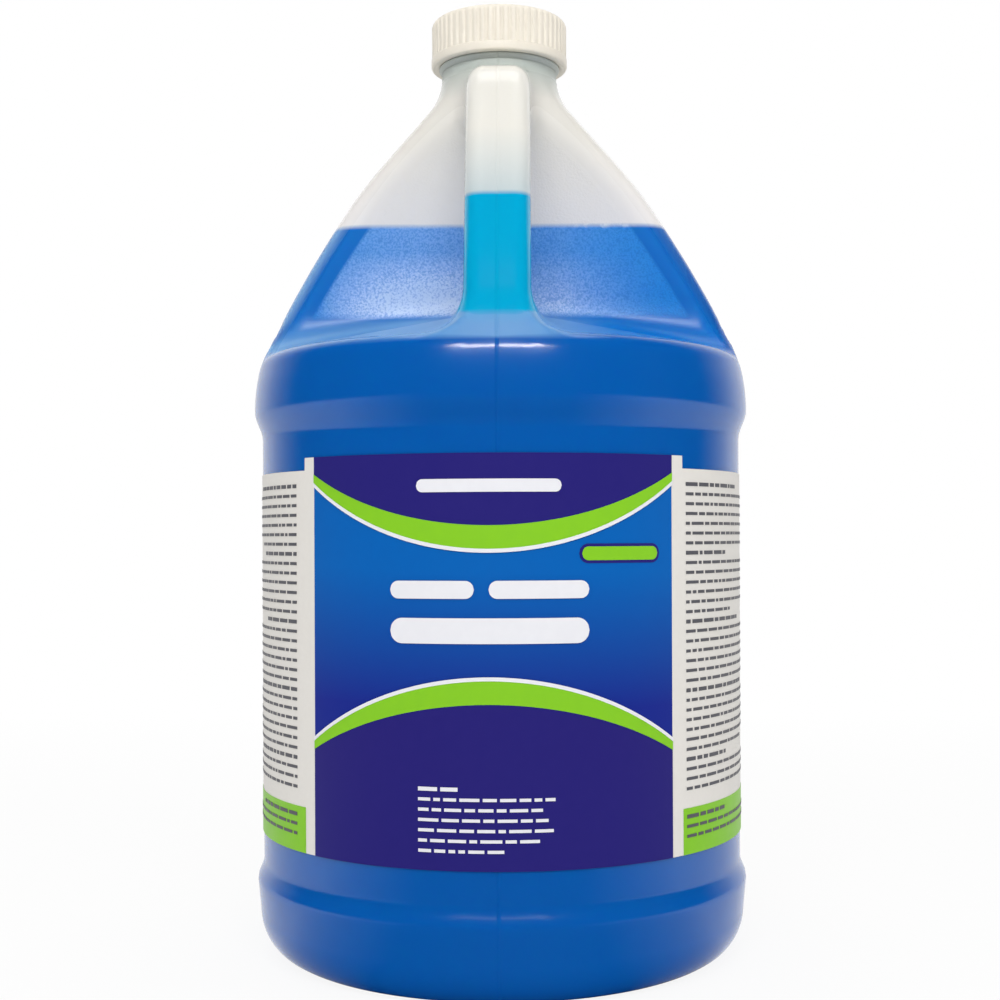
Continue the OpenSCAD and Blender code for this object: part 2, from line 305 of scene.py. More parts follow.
@dataclass(frozen=True)
class FadedInk(Finish):
    """The label's ground colour, which deepens down and towards one side."""

    deep: Colour = (0.0, 0.0, 0.0)
    middle: Place = (0.0, 0.0)
    reach: Place = (0.1, 0.1)
    deep_share: float = 0.66
    fade_across: float = 0.04
    fade_up: float = 2.1

    def base_colour(self, board: NodeBoard, cloud: Signal) -> Signal:
        """The mottled colour, faded into the deep one.

        Args:
            board: The material's board.
            cloud: Soft noise over the surface.

        Returns:
            The colour.
        """
        across = (board.along("X") - self.middle[0]) / self.reach[0]
        up = (board.along("Z") - self.middle[1]) / self.reach[1]
        share = (self.deep_share - self.fade_across * across - self.fade_up * up).clamped()
        return board.mix(share, super().base_colour(board, cloud), self.deep)


@dataclass(frozen=True)
class ShellPlace:
    """Where a point of the shell lies, as signals of its material.

    Side, deep and high are its x, y and z. Grip is how far it belongs to the handle, from 0 to 1.
    The rest are distances: inset is its depth under the round body's surface, clear is its way to
    the handle, and wall is how far it stands in front of the pocket's flat wall.
    """

    where: Signal
    side: Signal
    deep: Signal
    high: Signal
    grip: Signal
    inset: Signal
    clear: Signal
    wall: Signal

    @classmethod
    def on(cls, board: NodeBoard) -> "ShellPlace":
        """Reads the place from the coordinates and from the layers that the mesh carries.

        Args:
            board: The material's board.

        Returns:
            The place.
        """
        layers = (board.add("ShaderNodeAttribute", {"attribute_name": name}, {}, "Fac")
                  for name in SHELL_LAYERS)
        return cls(board.place(), *(board.along(axis) for axis in "XYZ"), *layers)


@dataclass(frozen=True)
class MilkyShell:
    """Milky polyethylene with blue liquid behind it up to the fill level.

    The wall shows what is behind it: air above the level, a thin and bright column of liquid in
    the handle, and a deep one in the body. It also carries painted light: shade on the neck under
    the cap, a lift in the pocket's blue, and highlights on the grain, the pocket's edges and the
    ledge. A pair of sizes says where a change starts, or where it ends if it falls, and over what
    length it runs.
    """

    name: str
    fill_z: float
    air: Colour = srgb(223, 220, 213)
    air_low: Colour = srgb(231, 228, 227)
    grip_air: Colour = srgb(226, 224, 217)
    grip_low: Colour = srgb(192, 203, 206)
    # neck: greyer and darker than the air zone, as painted shade under the cap
    neck: Colour = srgb(187, 195, 189)
    body: Colour = srgb(1, 91, 174)
    grip: Colour = srgb(0, 163, 205)
    # pocket: lighter than the body, partly lifted as painted light against the handle's shadow on the
    # wall
    pocket: Colour = srgb(1, 116, 200)
    # grain: the grained wall's speckle, partly lightened as painted light scattered off the grain
    grain: Colour = srgb(12, 142, 222)
    # grain_highlight: painted highlight on the grain, in two patches beside the handle
    grain_highlight: Colour = srgb(200, 220, 255)
    # rim: painted milky highlight along the pocket's edges, stronger on the left
    rim: Colour = srgb(128, 172, 218)
    # ledge: painted highlight of the light from above, on the ledge and the handle's foot
    ledge: Colour = srgb(110, 162, 210)
    line: Colour = srgb(18, 128, 190)
    froth: Colour = srgb(196, 214, 236)
    air_run: float = 0.03
    grip_air_run: float = 0.022
    neck_high: Place = (0.270, 0.01)
    pocket_inset: Place = (0.0012, 0.0028)
    grain_inset: Place = (0.0074, 0.0012)
    grain_clear: Place = (0.001, 0.002)
    grain_high: Place = (0.2012, 0.0022)
    grain_scale: float = 1550
    grain_depth: float = 0.00025
    grain_share: Place = (0.45, 0.90)
    pebble_from: float = 0.36
    pebble_gain: float = 3.2
    grain_highlight_share: Place = (0.66, 0.90)
    # Where the painted highlight on the grain is strongest, how it fades upwards, and how it weakens
    # right of the handle
    glow_side: Place = (0.022, 0.038)
    glow_high: Place = (0.2075, 0.015)
    glow_loss: float = 0.75
    shade_side: Place = (0.056, 0.036)
    shade_share: float = 0.55
    shade_turn: Place = (-0.01, 0.02)
    # Where the painted highlight along the pocket's edges lies
    rim_wall: Place = (-0.008, 0.005)
    rim_inset: Place = (0.0002, 0.0030)
    rim_high: Place = (0.194, 0.008)
    rim_share: Place = (0.55, 7)
    # Where the painted ledge highlight lies: under the handle's foot, fading to the right
    ledge_low: float = 0.1858
    ledge_soft: Place = (0.001, 0.05)
    ledge_top: Place = (0.2030, 0.003)
    ledge_grip: float = 0.0085
    ledge_deep: Place = (-0.004, 0.004)
    ledge_side: Place = (0.034, 0.022)
    ledge_share: float = 0.85
    edge: float = 0.0016
    wave_scale: float = 60
    wave_h: float = 0.0004
    level_up: float = 0.0008
    line_share: float = 0.6
    froth_depth: Place = (0.0006, 0.0013)
    froth_left: Place = (0.022, 0.006)
    froth_right: Place = (0.044, 0.006)
    froth_scale: float = 420
    froth_gain: float = 10
    cloud_scale: float = 24
    ripple_scale: float = 90
    ripple_depth: float = 0.0005
    ripple_strength: float = 0.06
    seam_w: float = 0.0006
    seam_depth: float = 0.0003
    rough: float = 0.165
    grip_rough: float = 0.04
    pocket_rough: float = 0.16
    grain_rough: float = 0.12
    cloud_rough: float = 0.06
    matt_high: Place = (0.2775, 0.0015)
    matt_rough: float = 0.34

    def over_air(self, board: NodeBoard, at: ShellPlace) -> Signal:
        """The wall's colour above the level, with painted shade on the neck under the cap.

        Args:
            board: The material's board.
            at: The place on the shell.

        Returns:
            The colour.
        """
        colour = board.mix(at.high.rise(self.fill_z, self.air_run), self.air_low, self.air)
        # painted shade: the neck under the cap is darkened in its colour
        colour = board.mix(at.high.rise(*self.neck_high), colour, self.neck)
        grip = board.mix(at.high.rise(self.fill_z, self.grip_air_run), self.grip_low, self.grip_air)
        return board.mix(at.grip, colour, grip)

    def grain_light(self, at: ShellPlace, pebble: Signal) -> Signal:
        """How much painted highlight the pocket's grain takes, less on the side away from the light.

        Args:
            at: The place on the shell.
            pebble: The height of the grain.

        Returns:
            The amount.
        """
        apart = (at.side.size() - self.glow_side[0]) / self.glow_side[1]
        lit = (1 - apart * apart).clamped()
        inner = at.side.fall(*self.shade_side)
        shaded = inner * inner * self.shade_share
        return (lit + at.side.rise(*self.shade_turn) * (shaded - lit)) \
            * (1 - at.high.rise(*self.glow_high) * self.glow_loss) \
            * (self.grain_highlight_share[0] + self.grain_highlight_share[1] * pebble)

    def painted_ledge_highlight(self, at: ShellPlace) -> Signal:
        """How far a point lies on the painted highlight of the ledge under the handle's foot.

        Args:
            at: The place on the shell.

        Returns:
            The share.
        """
        soft = self.ledge_soft[0] + at.side.size() * self.ledge_soft[1]
        top, run = self.ledge_top
        return at.high.rise(self.ledge_low, soft) * at.high.fall(top - at.grip * self.ledge_grip, run) \
            * at.deep.fall(*self.ledge_deep) * at.side.fall(*self.ledge_side)

    def froth_flecks(self, board: NodeBoard, at: ShellPlace, depth: Signal) -> Signal:
        """The few flecks of froth at the level, on the right of the handle.

        Args:
            board: The material's board.
            at: The place on the shell.
            depth: The depth under the level.

        Returns:
            The share of froth.
        """
        near = (1 - (depth - self.froth_depth[0]).size() / self.froth_depth[1]).clamped()
        right = at.side.rise(*self.froth_left) * at.side.fall(*self.froth_right)
        fleck = ((board.noise(at.where, self.froth_scale, 2) - 0.5) * self.froth_gain).clamped()
        return fleck * near * right * (1 - at.grip)

    def over_liquid(self, board: NodeBoard, at: ShellPlace, depth: Signal, pocket: Signal,
                    grain: Signal, tooth: Signal) -> Signal:
        """The wall's colour below the level, with painted highlights on the pocket and the ledge.

        Args:
            board: The material's board.
            at: The place on the shell.
            depth: The depth under the level.
            pocket: How far a point lies in the pocket.
            grain: How far it lies on the grained part of the pocket's wall.
            tooth: The noise of the grain.

        Returns:
            The colour.
        """
        pebble = ((tooth - self.pebble_from) * self.pebble_gain).clamped()
        # painted highlight: a milky band along the pocket's edges, kept off the handle
        rim = (1 - at.grip) * at.wall.rise(*self.rim_wall) * (1 - at.inset.rise(*self.rim_inset)) \
            * at.high.rise(*self.rim_high)
        speckle = self.grain_share[0] + self.grain_share[1] * pebble
        colour = board.mix(pocket, self.body, self.pocket)
        for share, layer in (
                (at.grip, self.grip),
                # painted highlight on the ledge under the handle's foot
                (self.painted_ledge_highlight(at) * self.ledge_share, self.ledge),
                ((grain * speckle).clamped(), self.grain),
                # painted highlight on the grain
                ((grain * self.grain_light(at, pebble)).clamped(), self.grain_highlight),
                (rim * (self.rim_share[0] - at.side * self.rim_share[1]).clamped(), self.rim),
                (depth.fall(self.edge, self.edge) * self.line_share, self.line),
                (self.froth_flecks(board, at, depth), self.froth)):
            colour = board.mix(share, colour, layer)
        return colour

    def relief(self, board: NodeBoard, at: ShellPlace, grain: Signal, tooth: Signal) -> Signal:
        """The wall's normal, with the grain, faint ripples and the mould line.

        Args:
            board: The material's board.
            at: The place on the shell.
            grain: How far a point lies on the grained part of the pocket's wall.
            tooth: The noise of the grain.

        Returns:
            The normal.
        """
        ripple = board.noise(at.where, self.ripple_scale, 2)
        seam = (1 - at.side.size() / self.seam_w).clamped()
        normal = board.bump(tooth * grain, self.grain_depth, 0.5)
        normal = board.bump(ripple, self.ripple_depth, self.ripple_strength, normal)
        return board.bump(seam, self.seam_depth, 0.5, normal)

    def material(self) -> bpy.types.Material:
        """Builds the shell's material.

        Returns:
            The new material.
        """
        made = bpy.data.materials.new(self.name)
        board = NodeBoard(made)
        at = ShellPlace.on(board)
        wave = board.noise(at.where, self.wave_scale, 2)
        depth = (wave - 0.5) * self.wave_h + self.fill_z + self.level_up - at.high
        cloud = board.noise(at.where, self.cloud_scale, 3)
        tooth = board.noise(at.where, self.grain_scale, 1.5, 0.6)
        pocket = at.inset.rise(*self.pocket_inset)
        grain = at.inset.rise(*self.grain_inset) * at.clear.rise(*self.grain_clear) \
            * at.high.rise(*self.grain_high)
        wet = self.over_liquid(board, at, depth, pocket, grain, tooth)
        board.surface({
            "Base Color": board.mix((depth / self.edge).clamped(), self.over_air(board, at), wet),
            "Roughness": self.rough - at.grip * self.grip_rough + pocket * self.pocket_rough
                         + grain * self.grain_rough + (cloud - 0.5) * self.cloud_rough
                         + at.high.rise(*self.matt_high) * self.matt_rough,
            "Specular IOR Level": 0.5,
            "Subsurface Weight": 0.6,
            "Subsurface Radius": (1.0, 1.0, 1.0),
            "Subsurface Scale": 0.006,
            "Normal": self.relief(board, at, grain, tooth),
        })
        return made


# ---- Meshes ----


class Shading(Enum):
    """How a mesh's faces are shaded."""

    SMOOTH = "smooth"
    CREASED = "creased"


def mesh_piece(name: str, points: np.ndarray, faces: Iterable[Iterable[int]],
               finish: bpy.types.Material, shading: Shading = Shading.CREASED,
               crease: float = 32) -> bpy.types.Object:
    """Makes an object from points and faces.

    Args:
        name: The object's name.
        points: One row of x, y and z for each point.
        faces: The points of each face, anticlockwise seen from outside.
        finish: The material.
        shading: Smooth all over, or with edges sharper than the crease left sharp.
        crease: The sharpest smooth edge, in degrees.

    Returns:
        The new object.
    """
    mesh = bpy.data.meshes.new(name)
    mesh.from_pydata(np.asarray(points, float).tolist(), [], [list(map(int, f)) for f in faces])
    mesh.materials.append(finish)
    mesh.validate()
    mesh.shade_smooth()
    if shading is Shading.CREASED:
        mesh.set_sharp_from_angle(angle=math.radians(crease))
    made = bpy.data.objects.new(name, mesh)
    bpy.context.scene.collection.objects.link(made)
    return made


def joined(parts: list[Mesh]) -> Mesh:
    """Several meshes as one.

    Args:
        parts: The points and faces of each mesh.

    Returns:
        The points and faces of the whole.
    """
    points, faces, base = [], [], 0
    for some, some_faces in parts:
        points.append(np.asarray(some, float))
        faces += [[base + k for k in f] for f in some_faces]
        base += len(some)
    return np.vstack(points), faces


def revolved(rings: list[Ring], count: int) -> Mesh:
    """A closed surface of rings about the axis, from one end point to the other.

    Args:
        rings: For each ring, a function from angles to radii and heights. The first and last
            ring are closed by a single point on the axis at their own height.
        count: The number of points in a ring.

    Returns:
        The points and faces.
    """
    angles = np.arange(count) * 2 * math.pi / count
    points = []
    for ring in rings:
        radius, height = ring(angles)
        points.append(np.stack([radius * np.cos(angles), radius * np.sin(angles),
                                height + 0 * angles], axis=1))
    faces = []
    for k in range(len(rings) - 1):
        a, b = k * count, (k + 1) * count
        faces += [[a + i, a + (i + 1) % count, b + (i + 1) % count, b + i] for i in range(count)]
    ends = np.array([[0, 0, points[0][0][2]], [0, 0, points[-1][0][2]]])
    first, last = len(rings) * count, len(rings) * count + 1
    top = (len(rings) - 1) * count
    faces += [[first, (i + 1) % count, i] for i in range(count)]
    faces += [[last, top + i, top + (i + 1) % count] for i in range(count)]
    return np.vstack([*points, ends]), faces


def level_ring(radius: float, height: float) -> Ring:
    """A plain round ring for revolved()."""
    return lambda angles: (radius + 0 * angles, np.full(len(angles), height))


def round_band(section: list[Place], count: int) -> Mesh:
    """A closed ring about the axis.

    Args:
        section: Radius and height of the section's points, anticlockwise with the axis on the left.
        count: The number of sections round the axis.

    Returns:
        The points and faces.
    """
    angles, n = np.arange(count) * 2 * math.pi / count, len(section)
    points = np.array([[r * math.cos(a), r * math.sin(a), z] for a in angles for r, z in section])
    faces = [[i * n + k, (i + 1) % count * n + k, (i + 1) % count * n + (k + 1) % n,
              i * n + (k + 1) % n] for i in range(count) for k in range(n)]
    return points, faces


def thread_section(root_r: float, root_w: float, tip_r: float, tip_w: float) -> list[Place]:
    """The section of a thread, which stands out of a post or into a bore.

    Args:
        root_r: The radius of its root, sunk in the wall.
        root_w: Its width there.
        tip_r: The radius of its tip.
        tip_w: Its width there.

    Returns:
        Radius and height of its points, the root's first.
    """
    way = math.copysign(0.5, tip_r - root_r)
    return [(root_r, way * root_w), (root_r, -way * root_w), (tip_r, -way * tip_w),
            (tip_r, way * tip_w)]


def helical_ridge(low: float, section: list[Place], lead: float = 0.06,
                  thin: float = 0.35) -> Mesh:
    """A thread: a section carried up a helix, thinned out at both ends.

    Args:
        low: The height of the section's middle at the start.
        section: Radius and height of the section's points, the two sunk in the wall first.
        lead: The share of the length over which each end runs out.
        thin: The share of its height that is left at the ends.

    Returns:
        The points and faces.
    """
    steps = int(48 * THREAD_TURNS)
    rows = []
    for i in range(steps + 1):
        share = i / steps
        angle = 2 * math.pi * THREAD_TURNS * share
        full = min(1, share / lead, (1 - share) / lead)
        for k, (radius, height) in enumerate(section):
            root = section[0][0]
            out = radius if k < 2 else root + (radius - root) * (thin + (1 - thin) * full)
            rows.append([out * math.cos(angle), out * math.sin(angle),
                         low + THREAD_PITCH * THREAD_TURNS * share + height])
    n = len(section)
    faces = [[i * n + k, i * n + (k + 1) % n, (i + 1) * n + (k + 1) % n, (i + 1) * n + k]
             for i in range(steps) for k in range(n)]
    faces += [list(range(n))[::-1], [steps * n + k for k in range(n)]]
    return np.array(rows), faces


# ---- Shapes as signed distances ----


class Outline:
    """A path in the plane of radius and height."""

    def __init__(self, start: Place) -> None:
        """Starts the path at a point."""
        self.points = [np.array(start, float)]

    def to(self, radius: float, height: float) -> "Outline":
        """Goes straight to a point."""
        self.points.append(np.array([radius, height]))
        return self

    def arc(self, centre: np.ndarray, radius: float, start: float, end: float,
            steps: int = 20) -> "Outline":
        """Goes round an arc.

        Args:
            centre: The arc's centre.
            radius: Its radius.
            start: The angle in degrees where it starts.
            end: The angle where it ends.
            steps: The number of straight steps.

        Returns:
            The path itself.
        """
        self.points += [centre + radius * turned(a) for a in np.linspace(start, end, steps + 1)]
        return self

    def ease(self, radius: float, height: float, steps: int = 16) -> "Outline":
        """Goes to a point along a smooth step whose ends run straight up.

        Args:
            radius: The point's radius.
            height: Its height.
            steps: The number of straight steps.

        Returns:
            The path itself.
        """
        start, end = self.points[-1], np.array([radius, height])
        for share in np.linspace(0, 1, steps + 1)[1:]:
            across = (1 - math.cos(math.pi * share)) / 2
            self.points.append(start + (end - start) * np.array([across, share]))
        return self


class FlatField:
    """Distances from a path in a plane, sampled finely and read between the samples."""

    def __init__(self, path: Outline, low: Place, high: Place, closed: bool,
                 step: float = 0.0004) -> None:
        """Samples the distances.

        Args:
            path: The path.
            low: The lowest corner of the sampled area.
            high: The highest corner.
            closed: Whether the path closes, so that distances inside are negative.
            step: The distance between samples.
        """
        self.low, self.step = np.array(low), step
        u, v = np.meshgrid(np.arange(low[0], high[0] + step, step),
                           np.arange(low[1], high[1] + step, step), indexing="ij")
        corners = path.points
        ends = corners[1:] + corners[:1] if closed else corners[1:]
        best, inside = np.full(u.shape, np.inf), np.zeros(u.shape, bool)
        for a, b in zip(corners, ends):
            ex, ey = b - a
            length = ex * ex + ey * ey
            if length < 1e-16:
                continue
            wx, wy = u - a[0], v - a[1]
            t = np.clip((wx * ex + wy * ey) / length, 0, 1)
            np.minimum(best, (wx - t * ex) ** 2 + (wy - t * ey) ** 2, out=best)
            if closed and abs(ey) > 1e-12:
                inside ^= ((a[1] > v) != (b[1] > v)) & (u < a[0] + ex * wy / ey)
        self.values = np.where(inside, -1, 1) * np.sqrt(best)

    def __call__(self, u: np.ndarray, v: np.ndarray) -> np.ndarray:
        """The distances at these places.

        Args:
            u: First coordinates.
            v: Second coordinates.

        Returns:
            The distances.
        """
        rows, columns = self.values.shape
        x = np.clip((u - self.low[0]) / self.step, 0, rows - 1.001)
        y = np.clip((v - self.low[1]) / self.step, 0, columns - 1.001)
        i, j = x.astype(int), y.astype(int)
        x, y = x - i, y - j
        f = self.values
        return ((f[i, j] * (1 - x) + f[i + 1, j] * x) * (1 - y)
                + (f[i, j + 1] * (1 - x) + f[i + 1, j + 1] * x) * y)


def fused(a: np.ndarray, b: np.ndarray, width: np.ndarray | float) -> np.ndarray:
    """The smaller of two distances, with a fillet where they meet.

    Args:
        a: Distances from one shape.
        b: Distances from the other.
        width: The fillet's width.

    Returns:
        Distances from both together.
    """
    share = np.clip(0.5 + 0.5 * (b - a) / width, 0, 1)
    return b * (1 - share) + a * share - width * share * (1 - share)


def eased(value: np.ndarray, low: float, high: float) -> np.ndarray:
    """0 below low, 1 above high, and smooth between."""
    t = np.clip((value - low) / (high - low), 0, 1)
    return t * t * (3 - 2 * t)


Distance = Callable[[np.ndarray], np.ndarray]


def slope_of(distance: Distance, points: np.ndarray, reach: float = 0.0005) -> np.ndarray:
    """How a distance changes along each axis.

    Args:
        distance: The distance of points from a shape.
        points: The points.
        reach: Half the step over which it is measured.

    Returns:
        One row of slopes for each point.
    """
    slopes = [(distance(points + step) - distance(points - step)) / (2 * reach)
              for step in np.eye(3) * reach]
    return np.stack(slopes, axis=1)


def skin_of(distance: Distance, low: np.ndarray, high: np.ndarray,
            step: float) -> tuple[np.ndarray, np.ndarray]:
    """The surface where a distance is zero, as quads on a regular grid.

    Args:
        distance: The distance of points from the shape, negative inside.
        low: The grid's lowest corner.
        high: Its highest corner.
        step: The size of its cells.

    Returns:
        The surface's points and its quads, anticlockwise seen from outside.
    """
    axes = [np.arange(a, b + step, step) for a, b in zip(low, high)]
    shape = tuple(len(a) for a in axes)
    grid = np.stack(np.meshgrid(*axes, indexing="ij"), axis=-1).reshape(-1, 3)
    values = distance(grid).reshape(shape)
    inside = values < 0
    cut = [slice(None, -1), slice(1, None)]
    count = sum(inside[cut[i], cut[j], cut[k]].astype(int)
                for i in (0, 1) for j in (0, 1) for k in (0, 1))
    mixed = (count > 0) & (count < 8)
    number = np.full(mixed.shape, -1)
    number[mixed] = np.arange(mixed.sum())
    cells = np.argwhere(mixed)
    total, hits = np.zeros(cells.shape), np.zeros(len(cells))
    quads = []
    for axis in range(3):
        other, third = (axis + 1) % 3, (axis + 2) % 3
        unit = np.eye(3, dtype=int)
        for i in (0, 1):
            for j in (0, 1):
                base = cells + i * unit[other] + j * unit[third]
                a, b = values[tuple(base.T)], values[tuple((base + unit[axis]).T)]
                crossed = (a < 0) != (b < 0)
                t = np.where(crossed, a / np.where(crossed, a - b, 1), 0)
                total += (base + t[:, None] * unit[axis]) * crossed[:, None]
                hits += crossed
        ahead = np.roll(inside, -1, axis=axis)
        edge = inside != ahead
        edges = np.argwhere(edge)
        limits = np.array(shape) - 1
        keep = (edges[:, axis] < limits[axis]) & (edges[:, other] > 0) & (edges[:, third] > 0) \
            & (edges[:, other] < limits[other]) & (edges[:, third] < limits[third])
        edges = edges[keep]
        around = [edges - unit[other] - unit[third], edges - unit[third], edges, edges - unit[other]]
        ring = np.stack([number[tuple(c.T)] for c in around], axis=1)
        leaving = inside[tuple(edges.T)]
        quads.append(np.where(leaving[:, None], ring, ring[:, ::-1]))
    return low + step * total / hits[:, None], np.vstack(quads)


@dataclass
class Jug:
    """The blow-moulded bottle, its handle and pocket, and the liquid that fills them."""

    fill_z: float
    land_z: float
    cap_z: float
    shoulder_r: float
    panel_r: float = 0.0765
    panel_bottom: float = 0.0295
    panel_top: float = 0.162
    foot_proud: float = 0.0019
    foot_step_h: float = 0.0062
    foot_taper: float = 0.00085
    heel_h: float = 0.0142
    heel_w: float = 0.0116
    ring_w: float = 0.006
    push_up: float = 0.005
    shoulder_step_h: float = 0.009
    crown_r: float = 0.0563
    crown_turn: float = 29.3
    cone_turn: float = 40.7
    neck_r: float = 0.0185
    neck_fillet: float = 0.0204
    pocket_y: float = 0.001
    floor_slope: float = 13
    crest_turn: float = 14
    crest_round: float = 0.005
    handle_w: float = 0.0194
    handle_t: float = 0.018
    handle_round: float = 0.0055
    foot_set_back: float = 0.0012
    foot_lean: float = 19
    foot_run: float = 0.025
    top_lean: float = 27
    bow_r: float = 0.09
    top_run: float = 0.0523
    corner_r: float = 0.020
    foot_sink: float = 0.008
    neck_sink: float = 0.014
    finish_r: float = 0.0178
    finish_step: float = 0.0007
    lip: float = 0.0005
    thread_h: float = 0.0011
    thread_w: Place = (0.0021, 0.001)
    thread_drop: float = 0.0015
    sink: float = 0.0003
    bead_r: float = 0.0195
    bead_h: float = 0.0016
    bead_edge: float = 0.0004
    bead_clear: float = 0.0001
    bore_r: float = 0.015
    bore_depth: float = 0.030
    finish_run: float = 0.0108
    wall: float = 0.00115
    floor_fillet: float = 0.005
    floor_flare: float = 0.2
    wall_top_gap: float = 0.0005
    edge_sharp: float = 0.0004
    edge_round: float = 0.0085
    round_low: Place = (0.002, 0.016)
    round_high: Place = (-0.012, 0.002)
    edge_bulge: float = 0.0014
    bulge_low: Place = (-0.004, 0.015)
    bulge_high: Place = (-0.042, -0.018)
    bulge_front: Place = (-0.030, -0.004)
    foot_fillet: float = 0.013
    top_fillet: float = 0.005
    fillet_change: Place = (0.012, 0.040)
    reach_slack: Place = (0.0003, 0.010)
    grip_fade: Place = (0.0005, 0.0045)
    crest_fade: float = 0.001
    cell: float = 0.00165
    liquid_cell: float = 0.003
    far: float = 0.05
    crown_c: np.ndarray = field(init=False)
    cone_c: np.ndarray = field(init=False)
    cone_r: float = field(init=False)
    neck_z: float = field(init=False)
    crest: np.ndarray = field(init=False)

    def __post_init__(self) -> None:
        """Works out the arcs of the shoulder and cone, and samples the outlines."""
        foot = self.panel_top + self.shoulder_step_h
        self.crown_c = np.array([self.shoulder_r - self.crown_r, foot])
        crown_end = self.crown_c[0] + self.crown_r * turned(self.crown_turn)[0]
        cone_end = self.neck_r + self.neck_fillet * (1 - turned(self.cone_turn)[0])
        narrowing = turned(self.crown_turn)[0] - turned(self.cone_turn)[0]
        self.cone_r = (crown_end - cone_end) / narrowing
        self.cone_c = self.crown_c + (self.crown_r - self.cone_r) * turned(self.crown_turn)
        self.neck_z = self.cone_c[1] + (self.cone_r + self.neck_fillet) * turned(self.cone_turn)[1]
        self.crest = self.crown_c + self.crown_r * turned(self.crest_turn)
        corner = (self.shoulder_r + 0.006, self.land_z + 0.004)
        self.whole, self.front, self.reach = (
            FlatField(outline, (-0.002, -0.003), corner, closed=True)
            for outline in (self.whole_outline(), self.front_outline(), self.reach_outline()))
        self.grip_line = FlatField(self.handle_path(self.handle_t / 2), (-0.02, 0.13), corner,
                                   closed=False)

    def lower_part(self) -> Outline:
        """The outline from the hollow of the base up to the shoulder.

        Returns:
            The outline.
        """
        foot_r = self.panel_r + self.foot_proud
        heel_r = foot_r - self.foot_taper
        ring_in = heel_r - self.heel_w - self.ring_w
        dome_r = (ring_in ** 2 + self.push_up ** 2) / (2 * self.push_up)
        path = Outline((-self.far, self.push_up))
        path.arc(np.array([0, self.push_up - dome_r]), dome_r, 90,
                 90 - math.degrees(math.asin(ring_in / dome_r)))
        for share in np.linspace(0, 1, 20):
            a = turned(90 * share)
            path.to(heel_r - self.heel_w + self.heel_w * a[1], self.heel_h * (1 - a[0]))
        path.to(foot_r, self.panel_bottom - self.foot_step_h)
        path.ease(self.panel_r, self.panel_bottom)
        path.to(self.panel_r, self.panel_top)
        return path.ease(self.shoulder_r, self.panel_top + self.shoulder_step_h)

    def neck_part(self, path: Outline) -> Outline:
        """Adds the neck finish, the mouth and its bore to an outline.

        Args:
            path: The outline up to the neck.

        Returns:
            The outline itself.
        """
        low = self.land_z - self.finish_run
        path.to(self.neck_r, low).to(self.finish_r, low + self.finish_step)
        path.to(self.finish_r, self.land_z - self.lip).to(self.finish_r - self.lip, self.land_z)
        path.to(self.bore_r, self.land_z).to(self.bore_r, self.land_z - self.bore_depth)
        return path.to(-self.far, self.land_z - self.bore_depth)

    def whole_outline(self) -> Outline:
        """The bottle's outline where no pocket is cut.

        Returns:
            The outline.
        """
        path = self.lower_part().arc(self.crown_c, self.crown_r, 0, self.crown_turn)
        path.arc(self.cone_c, self.cone_r, self.crown_turn, self.cone_turn, 40)
        fillet_c = np.array([self.neck_r + self.neck_fillet, self.neck_z])
        path.arc(fillet_c, self.neck_fillet, 180 + self.cone_turn, 180)
        return self.neck_part(path)

    def front_outline(self) -> Outline:
        """The pocket's floor and crest, with all that lies under them.

        Returns:
            The outline.
        """
        centre = self.crown_c + (self.crown_r - self.crest_round) * turned(self.crest_turn)
        down = -rising(self.crest_turn)
        start = self.crest + self.far * down
        path = Outline((start[0], start[1])).arc(centre, self.crest_round, self.crest_turn,
                                                 90 - self.floor_slope)
        last = path.points[-1]
        slope = math.tan(math.radians(self.floor_slope))
        path.to(-self.far, last[1] + (last[0] + self.far) * slope)
        return path.to(-self.far, -self.far).to(start[0], -self.far)

    def handle_path(self, inset: float) -> Outline:
        """A line along the handle, from its foot in the shoulder to its end in the neck.

        Args:
            inset: How far the line lies behind the handle's front.

        Returns:
            The line.
        """
        foot = self.crest - np.array([self.foot_set_back, 0])
        bow_start = foot + self.foot_run * rising(self.foot_lean)
        bow_c = bow_start - self.bow_r * turned(self.foot_lean)
        bow_end = bow_c + self.bow_r * turned(self.top_lean)
        corner_start = bow_end + self.top_run * rising(self.top_lean)
        corner_c = corner_start - self.corner_r * turned(self.top_lean)
        low = foot - self.foot_sink * rising(self.foot_lean) - inset * turned(self.foot_lean)
        path = Outline((low[0], low[1]))
        path.arc(bow_c, self.bow_r - inset, self.foot_lean, self.top_lean)
        path.arc(corner_c, self.corner_r - inset, self.top_lean, 90)
        return path.to(corner_c[0] - self.neck_sink, corner_c[1] + self.corner_r - inset)

    def reach_outline(self) -> Outline:
        """The furthest that the moulding reaches: the body, then the handle's front.

        Returns:
            The outline.
        """
        path = self.lower_part().arc(self.crown_c, self.crown_r, 0, self.crest_turn)
        path.points += self.handle_path(0).points[1:-1]
        path.to(self.neck_r, path.points[-1][1])
        return self.neck_part(path)

    def wall_distance(self, points: np.ndarray) -> np.ndarray:
        """Distances from the pocket's flat wall, which leans out towards the neck.

        Args:
            points: The points.

        Returns:
            The distances, negative behind the wall.
        """
        out = self.neck_r + self.wall_top_gap - self.pocket_y
        lean = math.atan(out / (self.neck_z - self.crest[1]))
        return -(points[:, 1] + self.pocket_y) * math.cos(lean) \
            - (points[:, 2] - self.crest[1]) * math.sin(lean)

